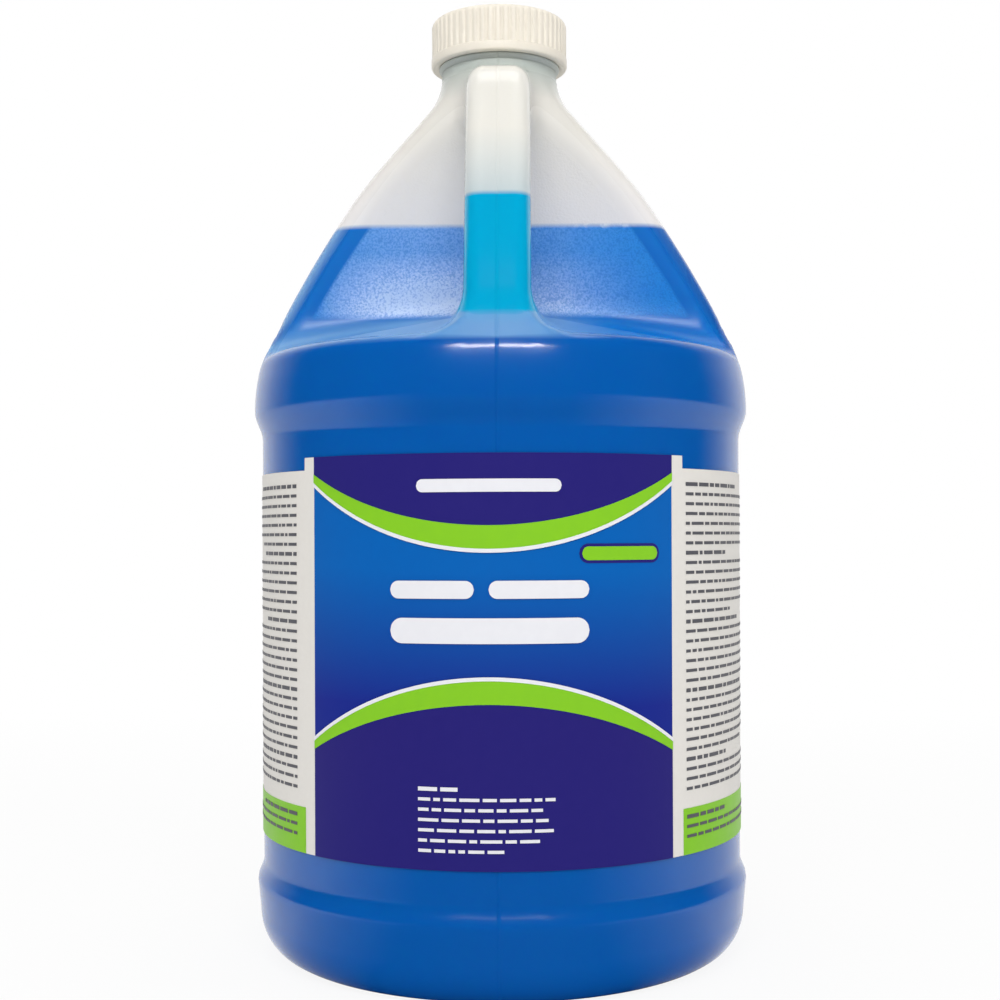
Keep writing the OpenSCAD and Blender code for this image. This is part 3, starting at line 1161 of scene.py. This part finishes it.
    def body_distance(self, points: np.ndarray) -> np.ndarray:
        """Distances from the body with its pocket, but without the handle.

        Args:
            points: The points.

        Returns:
            The distances, negative inside.
        """
        x, y, z = points.T
        radius, up, down = np.hypot(x, y), z - self.crest[1], z - self.neck_z
        bulge = eased(up, *self.bulge_low) * (1 - eased(down, *self.bulge_high)) \
            * eased(-y, *self.bulge_front)
        whole = self.whole(radius, z) - self.edge_bulge * bulge
        behind = fused(self.front(radius, z), self.wall_distance(points),
                       self.floor_fillet + self.floor_flare * np.abs(x))
        soft = eased(up, *self.round_low) * (1 - eased(down, *self.round_high))
        return -fused(-whole, -behind, self.edge_sharp + (self.edge_round - self.edge_sharp) * soft)

    def handle_distance(self, points: np.ndarray) -> np.ndarray:
        """Distances from the handle alone.

        Args:
            points: The points.

        Returns:
            The distances, negative inside.
        """
        x, y, z = points.T
        deep = self.grip_line(-y, z) - (self.handle_t / 2 - self.handle_round)
        wide = np.abs(x) - (self.handle_w / 2 - self.handle_round)
        outside = np.hypot(np.maximum(deep, 0), np.maximum(wide, 0))
        return outside + np.minimum(np.maximum(deep, wide), 0) - self.handle_round

    def distance(self, points: np.ndarray) -> np.ndarray:
        """Distances from the whole moulding.

        Args:
            points: The points.

        Returns:
            The distances, negative inside.
        """
        x, y, z = points.T
        up = z - self.crest[1]
        width = self.foot_fillet + (self.top_fillet - self.foot_fillet) * eased(up, *self.fillet_change)
        both = fused(self.body_distance(points), self.handle_distance(points), width)
        most, run = self.reach_slack
        return np.maximum(both, self.reach(np.hypot(x, y), z) - most * eased(up, 0, run))

    def liquid_distance(self, points: np.ndarray) -> np.ndarray:
        """Distances from the liquid, which fills the moulding up to its level."""
        return np.maximum(self.distance(points) + self.wall, points[:, 2] - self.fill_z)

    def skin(self, distance: Distance, step: float) -> tuple[np.ndarray, np.ndarray]:
        """A surface of the jug, with its points moved exactly onto it.

        Args:
            distance: The distance that is zero on the surface.
            step: The size of the mesh's cells.

        Returns:
            The points and quads.
        """
        low = np.array([-self.shoulder_r, -self.shoulder_r, 0]) - 1.5 * step
        high = np.array([self.shoulder_r, self.shoulder_r, self.land_z]) + 1.5 * step
        points, quads = skin_of(distance, low, high, step)
        for _ in range(3):
            slope = slope_of(distance, points)
            move = distance(points) / np.maximum((slope ** 2).sum(axis=1), 0.25)
            points = points - np.clip(move, -step, step)[:, None] * slope
        return points, quads

    def shell(self) -> bpy.types.Object:
        """The moulding, whose points carry their places against the handle and the pocket.

        Returns:
            The shell's object.
        """
        points, quads = self.skin(self.distance, self.cell)
        slope = slope_of(self.distance, points)
        normals = slope / np.linalg.norm(slope, axis=1)[:, None]
        clear = self.handle_distance(points)
        grip = eased(self.body_distance(points) - clear, *self.grip_fade)
        above = eased(points[:, 2] - self.crest[1], -self.crest_fade, self.crest_fade)
        inset = -self.whole(np.hypot(points[:, 0], points[:, 1]), points[:, 2]) * above
        finish = MilkyShell("milky_shell", self.fill_z).material()
        made = mesh_piece("shell", points, quads, finish, Shading.SMOOTH)
        for name, values in zip(SHELL_LAYERS, (grip, inset, clear, self.wall_distance(points))):
            layer = made.data.attributes.new(name, "FLOAT", "POINT")
            layer.data.foreach_set("value", np.ascontiguousarray(values, np.float32))
        made.data.normals_split_custom_set_from_vertices(normals.tolist())
        return made

    def thread(self, finish: bpy.types.Material) -> bpy.types.Object:
        """The thread on the neck finish, and the bead under the cap.

        Args:
            finish: The shell's material.

        Returns:
            The thread's object.
        """
        section = thread_section(self.finish_r - self.sink, self.thread_w[0],
                                 self.finish_r + self.thread_h, self.thread_w[1])
        ridge = helical_ridge(self.land_z - self.thread_drop - THREAD_TURNS * THREAD_PITCH, section)
        top, inner = self.cap_z - self.bead_clear, self.neck_r - 2 * self.sink
        bead = round_band([(inner, top - self.bead_h),
                           (self.neck_r + self.bead_clear, top - self.bead_h),
                           (self.bead_r, top - self.bead_edge),
                           (self.bead_r - self.bead_clear / 2, top), (inner, top)], 128)
        made = mesh_piece("shell_thread", *joined([ridge, bead]), finish)
        for name in SHELL_LAYERS:
            made.data.attributes.new(name, "FLOAT", "POINT")
        return made

    def liquid(self) -> bpy.types.Object:
        """The liquid, up to its level in the body and the handle.

        Returns:
            The liquid's object.
        """
        finish = Finish("blue_liquid", srgb(0, 110, 200), srgb(0, 104, 192), roughness=0.05,
                        specular=0.5, mottle=40, relief=0.00001)
        return mesh_piece("liquid", *self.skin(self.liquid_distance, self.liquid_cell),
                          finish.material(), Shading.CREASED, 50)


@dataclass
class ScrewCap:
    """The ribbed cap, its inner thread and the foam disc inside it."""

    low: float
    high: float
    radius: float
    disc_low: float
    disc_high: float
    disc_r: float
    rib_count: int = 56
    rib_depth: float = 0.00055
    band_h: float = 0.0028
    band_proud: float = 0.00015
    rim_round: float = 0.0007
    top_round: float = 0.0019
    wall_r: float = 0.01925
    roof_round: float = 0.0006
    top_t: float = 0.0018
    thread_h: float = 0.0011
    thread_w: Place = (0.0018, 0.0008)
    thread_low: float = 0.0027
    sink: float = 0.0003
    samples: int = 10

    def outer_ring(self, radius: float, height: float, ribbed: float) -> Ring:
        """A ring of the ribbed skirt.

        Args:
            radius: The radius at the ribs' crests.
            height: The ring's height.
            ribbed: How deep its grooves are, from 0 to 1.

        Returns:
            The ring for revolved().
        """
        def ring(angles: np.ndarray) -> tuple[np.ndarray, np.ndarray]:
            """Radii and heights at these angles."""
            wave = (1 - np.cos(angles * self.rib_count)) / 2
            groove = np.clip(wave * 1.5 - 0.5, 0, 1)
            return radius - self.rib_depth * ribbed * groove ** 0.8, np.full(len(angles), height)
        return ring

    def cap(self) -> bpy.types.Object:
        """The cap, from the roof inside down the bore, round the rim and up to its top.

        Returns:
            The cap's object.
        """
        roof = self.high - self.top_t
        band_top = self.low + self.band_h
        rib_r = self.radius - self.band_proud
        rings = [level_ring(0.4 * self.wall_r, roof), level_ring(self.wall_r - self.roof_round, roof),
                 level_ring(self.wall_r, roof - self.roof_round),
                 level_ring(self.wall_r, self.low + 0.0005),
                 level_ring(self.wall_r + 0.0001, self.low + 0.0001),
                 level_ring(self.wall_r + 0.0003, self.low)]
        for angle in np.linspace(-90, 0, 6):
            a = turned(angle) * self.rim_round
            rings.append(level_ring(self.radius - self.rim_round + a[0],
                                    self.low + self.rim_round + a[1]))
        rings += [level_ring(self.radius, band_top - 0.0003),
                  level_ring(self.radius - 0.00008, band_top - 0.00008),
                  self.outer_ring(rib_r - 0.00005, band_top + 0.00002, 0.25),
                  self.outer_ring(rib_r - 0.00005, band_top + 0.0003, 1),
                  self.outer_ring(rib_r - 0.00005, (band_top + self.high) / 2, 1)]
        for angle in np.linspace(0, 90, 9):
            a = turned(angle) * self.top_round
            rings.append(self.outer_ring(rib_r - self.top_round + a[0],
                                         self.high - self.top_round + a[1],
                                         max(0.0, 1 - angle / 78)))
        rings += [level_ring(0.75 * self.radius, self.high - 0.00005),
                  level_ring(0.4 * self.radius, self.high - 0.0001)]
        skirt = revolved(rings, self.rib_count * self.samples)
        section = thread_section(self.wall_r + self.sink, self.thread_w[0],
                                 self.wall_r - self.thread_h, self.thread_w[1])
        thread = helical_ridge(self.low + self.thread_low, section)
        finish = Finish("cap_plastic", srgb(235, 228, 214), srgb(228, 221, 207), roughness=0.42,
                        specular=0.35, mottle=420, relief=0.00003, sheen=0.08)
        return mesh_piece("screw_cap", *joined([skirt, thread]), finish.material(),
                          Shading.CREASED, 40)

    def disc(self) -> bpy.types.Object:
        """The foam disc that seals the mouth.

        Returns:
            The disc's object.
        """
        soft = 0.0002
        rings = [level_ring(0.5 * self.disc_r, self.disc_low),
                 level_ring(self.disc_r - soft, self.disc_low),
                 level_ring(self.disc_r, self.disc_low + soft),
                 level_ring(self.disc_r, self.disc_high - soft),
                 level_ring(self.disc_r - soft, self.disc_high),
                 level_ring(0.5 * self.disc_r, self.disc_high)]
        finish = Finish("liner_foam", srgb(240, 240, 236), srgb(226, 226, 222), roughness=0.8,
                        specular=0.1, mottle=900, relief=0.00012)
        return mesh_piece("seal_disc", *revolved(rings, 96), finish.material())


class Ink(Enum):
    """The inks of the label, named for the record's slots."""

    BLUE = "ink_blue"
    INDIGO = "ink_indigo"
    GREEN = "ink_green"
    WHITE = "ink_white"


Edge = Callable[[np.ndarray], np.ndarray]


@dataclass
class Label:
    """The wraparound label: one sheet, and layers of ink that follow its curve.

    Places along the label are lengths round the panel from the middle of its front.
    """

    low: float
    high: float
    radius: float
    left: float
    right: float
    panel_r: float = 0.0765
    wing_drop: float = 0.0037
    margin: float = 0.0047
    wing_end: float = 179
    thickness: float = 0.0002
    corner_run: float = 0.00006
    ink: float = 0.00008
    layer: float = 0.00012
    header_h: float = 0.020
    footer_h: float = 0.046
    arc_bend: float = 0.015
    arc_w: float = 0.0065
    arc_end_w: float = 0.0024
    hairline_w: float = 0.0011
    wing_block_h: float = 0.0134
    row_pitch: float = 0.00285
    row_h: float = 0.00088
    seed: int = 7
    ink_gap: float = 0.00004
    column_w: float = 0.0012
    word_w: Place = (0.0014, 0.0062)
    word_gap: float = 0.0009
    word_step: float = 0.003
    row_end: float = 0.0015
    rows_in_block: int = 7
    column_gap: float = 0.003
    front_rows_w: float = 0.020
    front_rows_z: Place = (0.004, 0.024)
    parts: dict[Ink, list[Mesh]] = field(init=False)

    def __post_init__(self) -> None:
        """Works out the field's middle and half width, and the ends of its arcs."""
        self.middle = (self.left + self.right) / 2
        self.half = (self.right - self.left) / 2
        self.header_z = self.high - self.header_h
        self.footer_z = self.low + self.footer_h
        self.back = math.radians(self.wing_end) * self.panel_r
        self.parts = {ink: [] for ink in Ink}

    def plate(self, start: float, end: float, lower: Edge, upper: Edge, level: float,
              thick: float, columns: int | None = None) -> Mesh:
        """A thin closed plate wrapped round the panel.

        Args:
            start: Where it starts along the label.
            end: Where it ends.
            lower: The height of its lower edge at places along the label.
            upper: The height of its upper edge.
            level: How far its inner face stands off the label's inner face.
            thick: Its thickness.
            columns: The number of columns, by default as many as column_w gives.

        Returns:
            The points and faces.
        """
        count = columns or max(1, round((end - start) / self.column_w))
        along = np.linspace(start, end, count + 1)
        angle = along / self.panel_r
        base, rows = self.radius - self.thickness + level, []
        for radius, edge in ((base, lower), (base + thick, lower), (base + thick, upper), (base, upper)):
            rows.append(np.stack([radius * np.sin(angle), -radius * np.cos(angle),
                                  edge(along) + 0 * along], axis=1))
        points = np.stack(rows, axis=1).reshape(-1, 3)
        faces = [[4 * i + k, 4 * (i + 1) + k, 4 * (i + 1) + (k + 1) % 4, 4 * i + (k + 1) % 4]
                 for i in range(count) for k in range(4)]
        last = 4 * count
        return points, faces + [[0, 1, 2, 3], [last + 3, last + 2, last + 1, last]]

    def level(self, depth: int) -> float:
        """How far the ink over so many layers stands off the label's inner face."""
        return self.thickness + self.ink_gap + depth * self.layer

    def print_plate(self, ink: Ink, depth: int, start: float, end: float, lower: Edge,
                    upper: Edge, columns: int | None = None) -> None:
        """Adds a plate of ink.

        Args:
            ink: The ink.
            depth: The number of layers under it.
            start: Where it starts along the label.
            end: Where it ends.
            lower: The height of its lower edge.
            upper: The height of its upper edge.
            columns: The number of columns.
        """
        self.parts[ink].append(self.plate(start, end, lower, upper, self.level(depth), self.ink,
                                          columns))

    def arc_edge(self, mid: float, bend: float) -> Edge:
        """The edge of an arc across the field, at one height in the middle and bent at its ends."""
        return lambda along: mid + bend * ((along - self.middle) / self.half) ** 2

    def bar(self, ink: Ink, depth: int, start: float, end: float, z: float, height: float,
            slant: float = 0.0) -> None:
        """Adds a bar with round ends.

        Args:
            ink: The ink.
            depth: The number of layers under it.
            start: Where it starts along the label.
            end: Where it ends.
            z: The height of its middle.
            height: Its height.
            slant: How much it rises along its length.
        """
        half = height / 2

        def rise(along: np.ndarray) -> np.ndarray:
            """Half the bar's height at these places."""
            inset = np.minimum(along - start, end - along)
            return half * np.sqrt(np.clip(1 - ((half - np.minimum(inset, half)) / half) ** 2, 0.0, 1))

        def drift(along: np.ndarray) -> np.ndarray:
            """The height of its middle at these places."""
            return z + slant * (along - start) / (end - start)

        count = max(24, round((end - start) / 0.0003))
        self.print_plate(ink, depth, start, end, lambda s: drift(s) - rise(s) - 0.00001,
                         lambda s: drift(s) + rise(s) + 0.00001, min(count, 220))

    def field_print(self) -> None:
        """Prints the front field: its ground, header, footer, arcs, badge and bars."""
        low, high = (lambda s: self.low + 0 * s), (lambda s: self.high + 0 * s)
        narrow = self.arc_w - self.arc_end_w
        header = self.arc_edge(self.header_z, self.arc_bend)
        header_low = self.arc_edge(self.header_z - self.arc_w, self.arc_bend + narrow)
        header_line = self.arc_edge(self.header_z - self.arc_w - self.hairline_w,
                                    self.arc_bend + narrow)
        footer = self.arc_edge(self.footer_z, -self.arc_bend)
        footer_top = self.arc_edge(self.footer_z + self.arc_w, -self.arc_bend - narrow)
        footer_line = self.arc_edge(self.footer_z + self.arc_w + self.hairline_w,
                                    -self.arc_bend - narrow)
        span = (self.left, self.right)
        self.print_plate(Ink.BLUE, 0, *span, low, high)
        self.print_plate(Ink.INDIGO, 1, *span, header, high)
        self.print_plate(Ink.INDIGO, 1, *span, low, footer)
        self.print_plate(Ink.GREEN, 2, *span, header_low, header)
        self.print_plate(Ink.GREEN, 2, *span, footer, footer_top)
        self.print_plate(Ink.WHITE, 3, *span, header_line, header_low)
        self.print_plate(Ink.WHITE, 3, *span, footer_top, footer_line)
        centre = self.header_z - self.footer_z
        badge, width, tall = self.middle + 0.68 * self.half, 0.23 * self.half, 0.11 * centre
        badge_z = self.header_z - 0.16 * centre
        rim = 0.15 * tall
        self.bar(Ink.INDIGO, 1, badge - width, badge + width, badge_z, tall)
        self.bar(Ink.GREEN, 2, badge - width + rim, badge + width - rim, badge_z, tall - 2 * rim)
        wide, slim = self.half / 2, 0.36 * self.half
        upper_z, lower_z = self.footer_z + 0.64 * centre, self.footer_z + 0.41 * centre
        for start, end, z, tall in (
                (-wide, -wide / 7, upper_z, centre / 10), (0, wide, upper_z, centre / 10),
                (-wide, wide, lower_z, centre / 7),
                (-slim, slim, self.header_z + 0.55 * self.header_h, 0.18 * self.header_h)):
            self.bar(Ink.WHITE, 3, self.middle + start, self.middle + end, z, tall)

    def fine_rows(self, start: float, end: float, top: float, low: float, store: list[Mesh],
                  depth: int, rng: np.random.Generator, to_right: bool = False) -> None:
        """Adds rows of short bars of uneven length, in blocks under a shorter first row.

        Args:
            start: Where the column starts along the label.
            end: Where it ends.
            top: The height of its top.
            low: The height of its foot.
            store: The list that takes the plates.
            depth: The number of layers under them.
            rng: The source of the bars' lengths.
            to_right: Whether the rows line up on the right.
        """
        rows = int((top - low) / self.row_pitch)
        for row in range(rows):
            z, step = top - (row + 0.5) * self.row_pitch, row % self.rows_in_block
            first, last = step == 0, step == self.rows_in_block - 1
            share = (0.25, 0.5) if first else (0.3, 0.7) if last else (0.82, 1.0)
            reach = (end - start) * rng.uniform(*share)
            place, half = 0.0, self.row_h * (1.25 if first else 1) / 2
            while place < reach - self.row_end:
                word = min(rng.uniform(*self.word_w), reach - place)
                a = start + place if not to_right else end - place - word
                store.append(self.plate(a, a + word, lambda s, z=z, h=half: z - h + 0 * s,
                                        lambda s, z=z, h=half: z + h + 0 * s, self.level(depth),
                                        self.ink, max(1, round(word / self.word_step))))
                place += word + self.word_gap

    def sheet(self) -> bpy.types.Object:
        """The label's paper, with its taller front section.

        Returns:
            The sheet's object.
        """
        step = self.corner_run
        inner, outer = self.left - self.margin, self.right + self.margin

        def upper(along: np.ndarray) -> np.ndarray:
            """The height of the upper edge, lower on the wings."""
            wing = np.clip(np.maximum(inner - along, along - outer) / step, 0, 1)
            return self.high - self.wing_drop * wing

        def lower(along: np.ndarray) -> np.ndarray:
            """The height of the lower edge."""
            return self.low + 0 * along

        places = [-self.back, inner - step, inner, outer, outer + step, self.back]
        counts = [112, 1, 96, 1, 112]
        along = np.concatenate([np.linspace(a, b, n, endpoint=False)
                                for a, b, n in zip(places, places[1:], counts)] + [[self.back]])
        points, faces = self.plate(-self.back, self.back, lower, upper, 0, self.thickness,
                                   len(along) - 1)
        angle = along / self.panel_r
        for k, (radius, edge) in enumerate(((self.radius - self.thickness, lower),
                                            (self.radius, lower), (self.radius, upper),
                                            (self.radius - self.thickness, upper))):
            points[k::4] = np.stack([radius * np.sin(angle), -radius * np.cos(angle),
                                     edge(along)], axis=1)
        finish = Finish("label_stock", srgb(228, 225, 219), srgb(224, 220, 214), roughness=0.45,
                        specular=0.25, mottle=700, relief=0.00003)
        return mesh_piece("label_sheet", points, faces, finish.material())

    def inks(self) -> dict[Ink, bpy.types.Object]:
        """All the print, as one object for each ink.

        Returns:
            The objects by ink.
        """
        rng = np.random.default_rng(self.seed)
        self.field_print()
        block_top = self.low + self.wing_block_h
        wing_top = self.high - self.wing_drop
        low, block = (lambda s: self.low + 0 * s), (lambda s: block_top + 0 * s)
        dark = []
        for start, end, flush in ((self.right + self.margin, self.back, False),
                                  (-self.back, self.left - self.margin, True)):
            self.print_plate(Ink.GREEN, 0, start, end, low, block)
            gap = self.column_gap
            column = (end - start - 3 * gap) / 2
            for k in (0, 1):
                a = start + gap / 2 + k * (column + gap)
                self.fine_rows(a, a + column, wing_top - 0.003, block_top + 0.002, dark, 0, rng, flush)
                self.fine_rows(a, a + column, block_top - 0.001, self.low + 0.0012, dark, 1, rng, flush)
        self.fine_rows(self.middle - self.front_rows_w, self.middle + self.front_rows_w,
                       self.low + self.front_rows_z[1], self.low + self.front_rows_z[0],
                       self.parts[Ink.WHITE], 3, rng)
        middle = (0.0, (self.low + self.high) / 2)
        finishes: dict[Ink, Finish] = {
            Ink.BLUE: FadedInk("ink_blue", srgb(0, 96, 179), srgb(1, 93, 175), roughness=0.4,
                               specular=0.1, deep=srgb(22, 39, 137), middle=middle,
                               reach=(0.09, 0.08)),
            Ink.INDIGO: Finish("ink_indigo", srgb(37, 31, 115), srgb(40, 33, 117), specular=0.1),
            Ink.GREEN: Finish("ink_green", srgb(134, 201, 32), srgb(128, 196, 36), specular=0.2),
            Ink.WHITE: Finish("ink_white", srgb(232, 232, 236), srgb(226, 226, 231), specular=0.2),
        }
        made = {}
        for ink, parts in self.parts.items():
            made[ink] = mesh_piece(f"print_{ink.value[4:]}_layer", *joined(parts),
                                   finishes[ink].material())
        grey = Finish("ink_fine", srgb(92, 92, 98), srgb(84, 84, 90), specular=0.15)
        fine = mesh_piece("fine_print", *joined(dark), grey.material())
        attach(fine, "root")
        return made


@dataclass(frozen=True)
class Softbox:
    """One soft lamp of the studio."""

    name: str
    place: tuple[float, float, float]
    aim: tuple[float, float, float]
    size: Place
    watts: float
    mirrored: bool = True

    def lamp(self) -> bpy.types.Object:
        """Adds the lamp.

        Returns:
            The lamp's object.
        """
        light = bpy.data.lights.new(self.name, "AREA")
        light.shape, light.energy = "RECTANGLE", self.watts
        light.size, light.size_y = self.size
        made = bpy.data.objects.new(self.name, light)
        made.location = self.place
        towards = Vector(self.aim) - Vector(self.place)
        made.rotation_euler = towards.to_track_quat("-Z", "Y").to_euler()
        made.visible_glossy = self.mirrored
        bpy.context.scene.collection.objects.link(made)
        return made


@dataclass
class Studio:
    """The white floor and surroundings, the lamps, and the camera at the photo's angle."""

    distance: float = 0.4968
    eye_z: float = 0.13166
    lens: float = 54.92
    shift: Place = (-0.001, 0.0354)
    floor_size: float = 6.0
    turn: float = 0.7
    roll: float = 0.22
    ambient: float = 0.48
    front_gloss: float = 0.01
    near_white: float = 0.9
    white_from: Place = (0.12, 0.5)
    floor_gloss: Place = (-0.85, 0.6)
    world_gloss: Place = (0.3, 0.45)
    lamps: tuple[Softbox, ...] = (
        Softbox("key", (0.0, -0.93, 0.855), (0, 0, 0.19), (0.80, 0.075), 7.2),
        Softbox("top", (0.0, 0.10, 1.15), (0, 0, 0.19), (0.80, 0.50), 2.2),
        Softbox("left", (-1.0, -0.20, 0.30), (0, 0, 0.15), (0.30, 0.8), 0.8, False),
        Softbox("right", (1.0, -0.30, 0.30), (0, 0, 0.15), (0.30, 0.8), 1.2, False),
    )

    def build(self) -> None:
        """Sets up the floor, the world, the lamps and the camera."""
        self.floor()
        self.world()
        for lamp in self.lamps:
            lamp.lamp()
        self.camera()
        bpy.context.scene.view_settings.view_transform = "Standard"

    def floor(self) -> None:
        """The pale floor, which shows white but keeps some of the shadow."""
        half = self.floor_size / 2
        finish = bpy.data.materials.new("studio_floor")
        board = NodeBoard(finish)
        paper = board.noise(board.place(), 40, 2)
        matt = board.add("ShaderNodeBsdfDiffuse", {}, {
            "Color": board.mix(paper, (0.90, 0.90, 0.90), (0.93, 0.93, 0.93))})
        white = board.add("ShaderNodeEmission", {}, {"Color": (1.0, 1.0, 1.0), "Strength": 1.0})
        side, depth = (board.along(axis).size() for axis in "XY")
        far = side.most(depth).rise(*self.white_from)
        seen, mirrored = (board.add("ShaderNodeLightPath", {}, {}, name)
                          for name in ("Is Camera Ray", "Is Glossy Ray"))
        share = seen * (self.near_white + (1 - self.near_white) * far)
        mixed = board.add("ShaderNodeMixShader", {}, {0: share, 1: matt, 2: white})
        across = board.add("ShaderNodeVectorMath", {"operation": "NORMALIZE"}, {0: board.place()})
        back = board.add("ShaderNodeSeparateXYZ", {}, {0: across}, "Y")
        gloss = self.front_gloss + (1 - self.front_gloss) * back.rise(*self.floor_gloss)
        mirror = board.add("ShaderNodeEmission", {}, {"Color": (1.0, 1.0, 1.0), "Strength": 1.0})
        dark = board.add("ShaderNodeEmission", {}, {"Color": (0.0, 0.0, 0.0), "Strength": 0.0})
        mirror = board.add("ShaderNodeMixShader", {}, {0: gloss, 1: dark, 2: mirror})
        mixed = board.add("ShaderNodeMixShader", {}, {0: mirrored, 1: mixed, 2: mirror})
        board.add("ShaderNodeOutputMaterial", {}, {"Surface": mixed})
        corners = np.array([[-half, -half, 0], [half, -half, 0], [half, half, 0], [-half, half, 0]])
        mesh_piece("studio_floor", corners, [[0, 1, 2, 3]], finish)

    def world(self) -> None:
        """Even white surroundings, which light the jug at a plain level."""
        world = bpy.data.worlds.new("studio")
        board = NodeBoard(world)
        seen, mirrored = (board.add("ShaderNodeLightPath", {}, {}, name)
                          for name in ("Is Camera Ray", "Is Glossy Ray"))
        where = board.add("ShaderNodeTexCoord", {}, {}, "Generated")
        depth = board.add("ShaderNodeSeparateXYZ", {}, {0: where}, "Y")
        gloss = self.front_gloss + (1 - self.front_gloss) * depth.rise(*self.world_gloss)
        strength = seen + mirrored * gloss + (1 - seen - mirrored).clamped() * self.ambient
        white = board.add("ShaderNodeBackground", {}, {"Color": (1.0, 1.0, 1.0),
                                                       "Strength": strength})
        board.add("ShaderNodeOutputWorld", {}, {"Surface": white})
        bpy.context.scene.world = world

    def camera(self) -> None:
        """The camera, level in front of the handle."""
        data = bpy.data.cameras.new("photo_camera")
        data.lens, data.sensor_width = self.lens, 36
        data.shift_x, data.shift_y = self.shift
        data.clip_start = 0.01
        made = bpy.data.objects.new("photo_camera", data)
        turn = math.radians(self.turn)
        made.location = (self.distance * math.sin(turn), -self.distance * math.cos(turn), self.eye_z)
        made.rotation_euler = (math.radians(90), math.radians(self.roll), turn)
        bpy.context.scene.collection.objects.link(made)
        bpy.context.scene.camera = made


def kept(piece: bpy.types.Object, body: str, slot: str, *nodes: str) -> None:
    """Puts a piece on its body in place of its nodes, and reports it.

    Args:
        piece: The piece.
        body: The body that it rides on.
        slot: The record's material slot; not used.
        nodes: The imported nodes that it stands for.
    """
    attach(piece, body)
    if nodes:
        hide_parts(*nodes)
    LOG.info("%s: %d faces on body %s for %s", piece.name, len(piece.data.polygons), body,
             ", ".join(nodes) or "no node")


def main() -> None:
    """Builds the jug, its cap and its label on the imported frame, and then the studio."""
    logging.basicConfig(level=logging.INFO, format="%(name)s: %(message)s")
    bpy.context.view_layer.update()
    bottle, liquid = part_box("bottle"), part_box("detergent")
    cap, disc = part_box("cap"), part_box("cap_liner")
    jug = Jug(liquid[1].z, bottle[1].z, cap[0].z,
              min(-bottle[0].x, -bottle[0].y, bottle[1].x, bottle[1].y))
    shell = jug.shell()
    kept(shell, "root", "milky_shell", "bottle")
    kept(jug.thread(shell.data.materials[0]), "root", "milky_shell")
    kept(jug.liquid(), "root", "blue_liquid", "detergent")

    top = ScrewCap(cap[0].z, cap[1].z, cap[1].x, disc[0].z, disc[1].z, disc[1].x)
    kept(top.cap(), "cap", "cap_plastic", "cap")
    kept(top.disc(), "seal", "liner_foam", "cap_liner")

    sheet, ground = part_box("label"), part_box("print_blue")
    print_r = -ground[0].y
    left = math.asin(ground[0].x / print_r) * jug.panel_r
    right = math.asin(ground[1].x / print_r) * jug.panel_r
    label = Label(sheet[0].z, sheet[1].z, -sheet[0].y, left, right)
    kept(label.sheet(), "root", "label_stock", "label")
    for ink, piece in label.inks().items():
        kept(piece, "root", ink.value, f"print_{ink.value[4:]}")

    Studio().build()


if __name__ == "__main__":
    main()
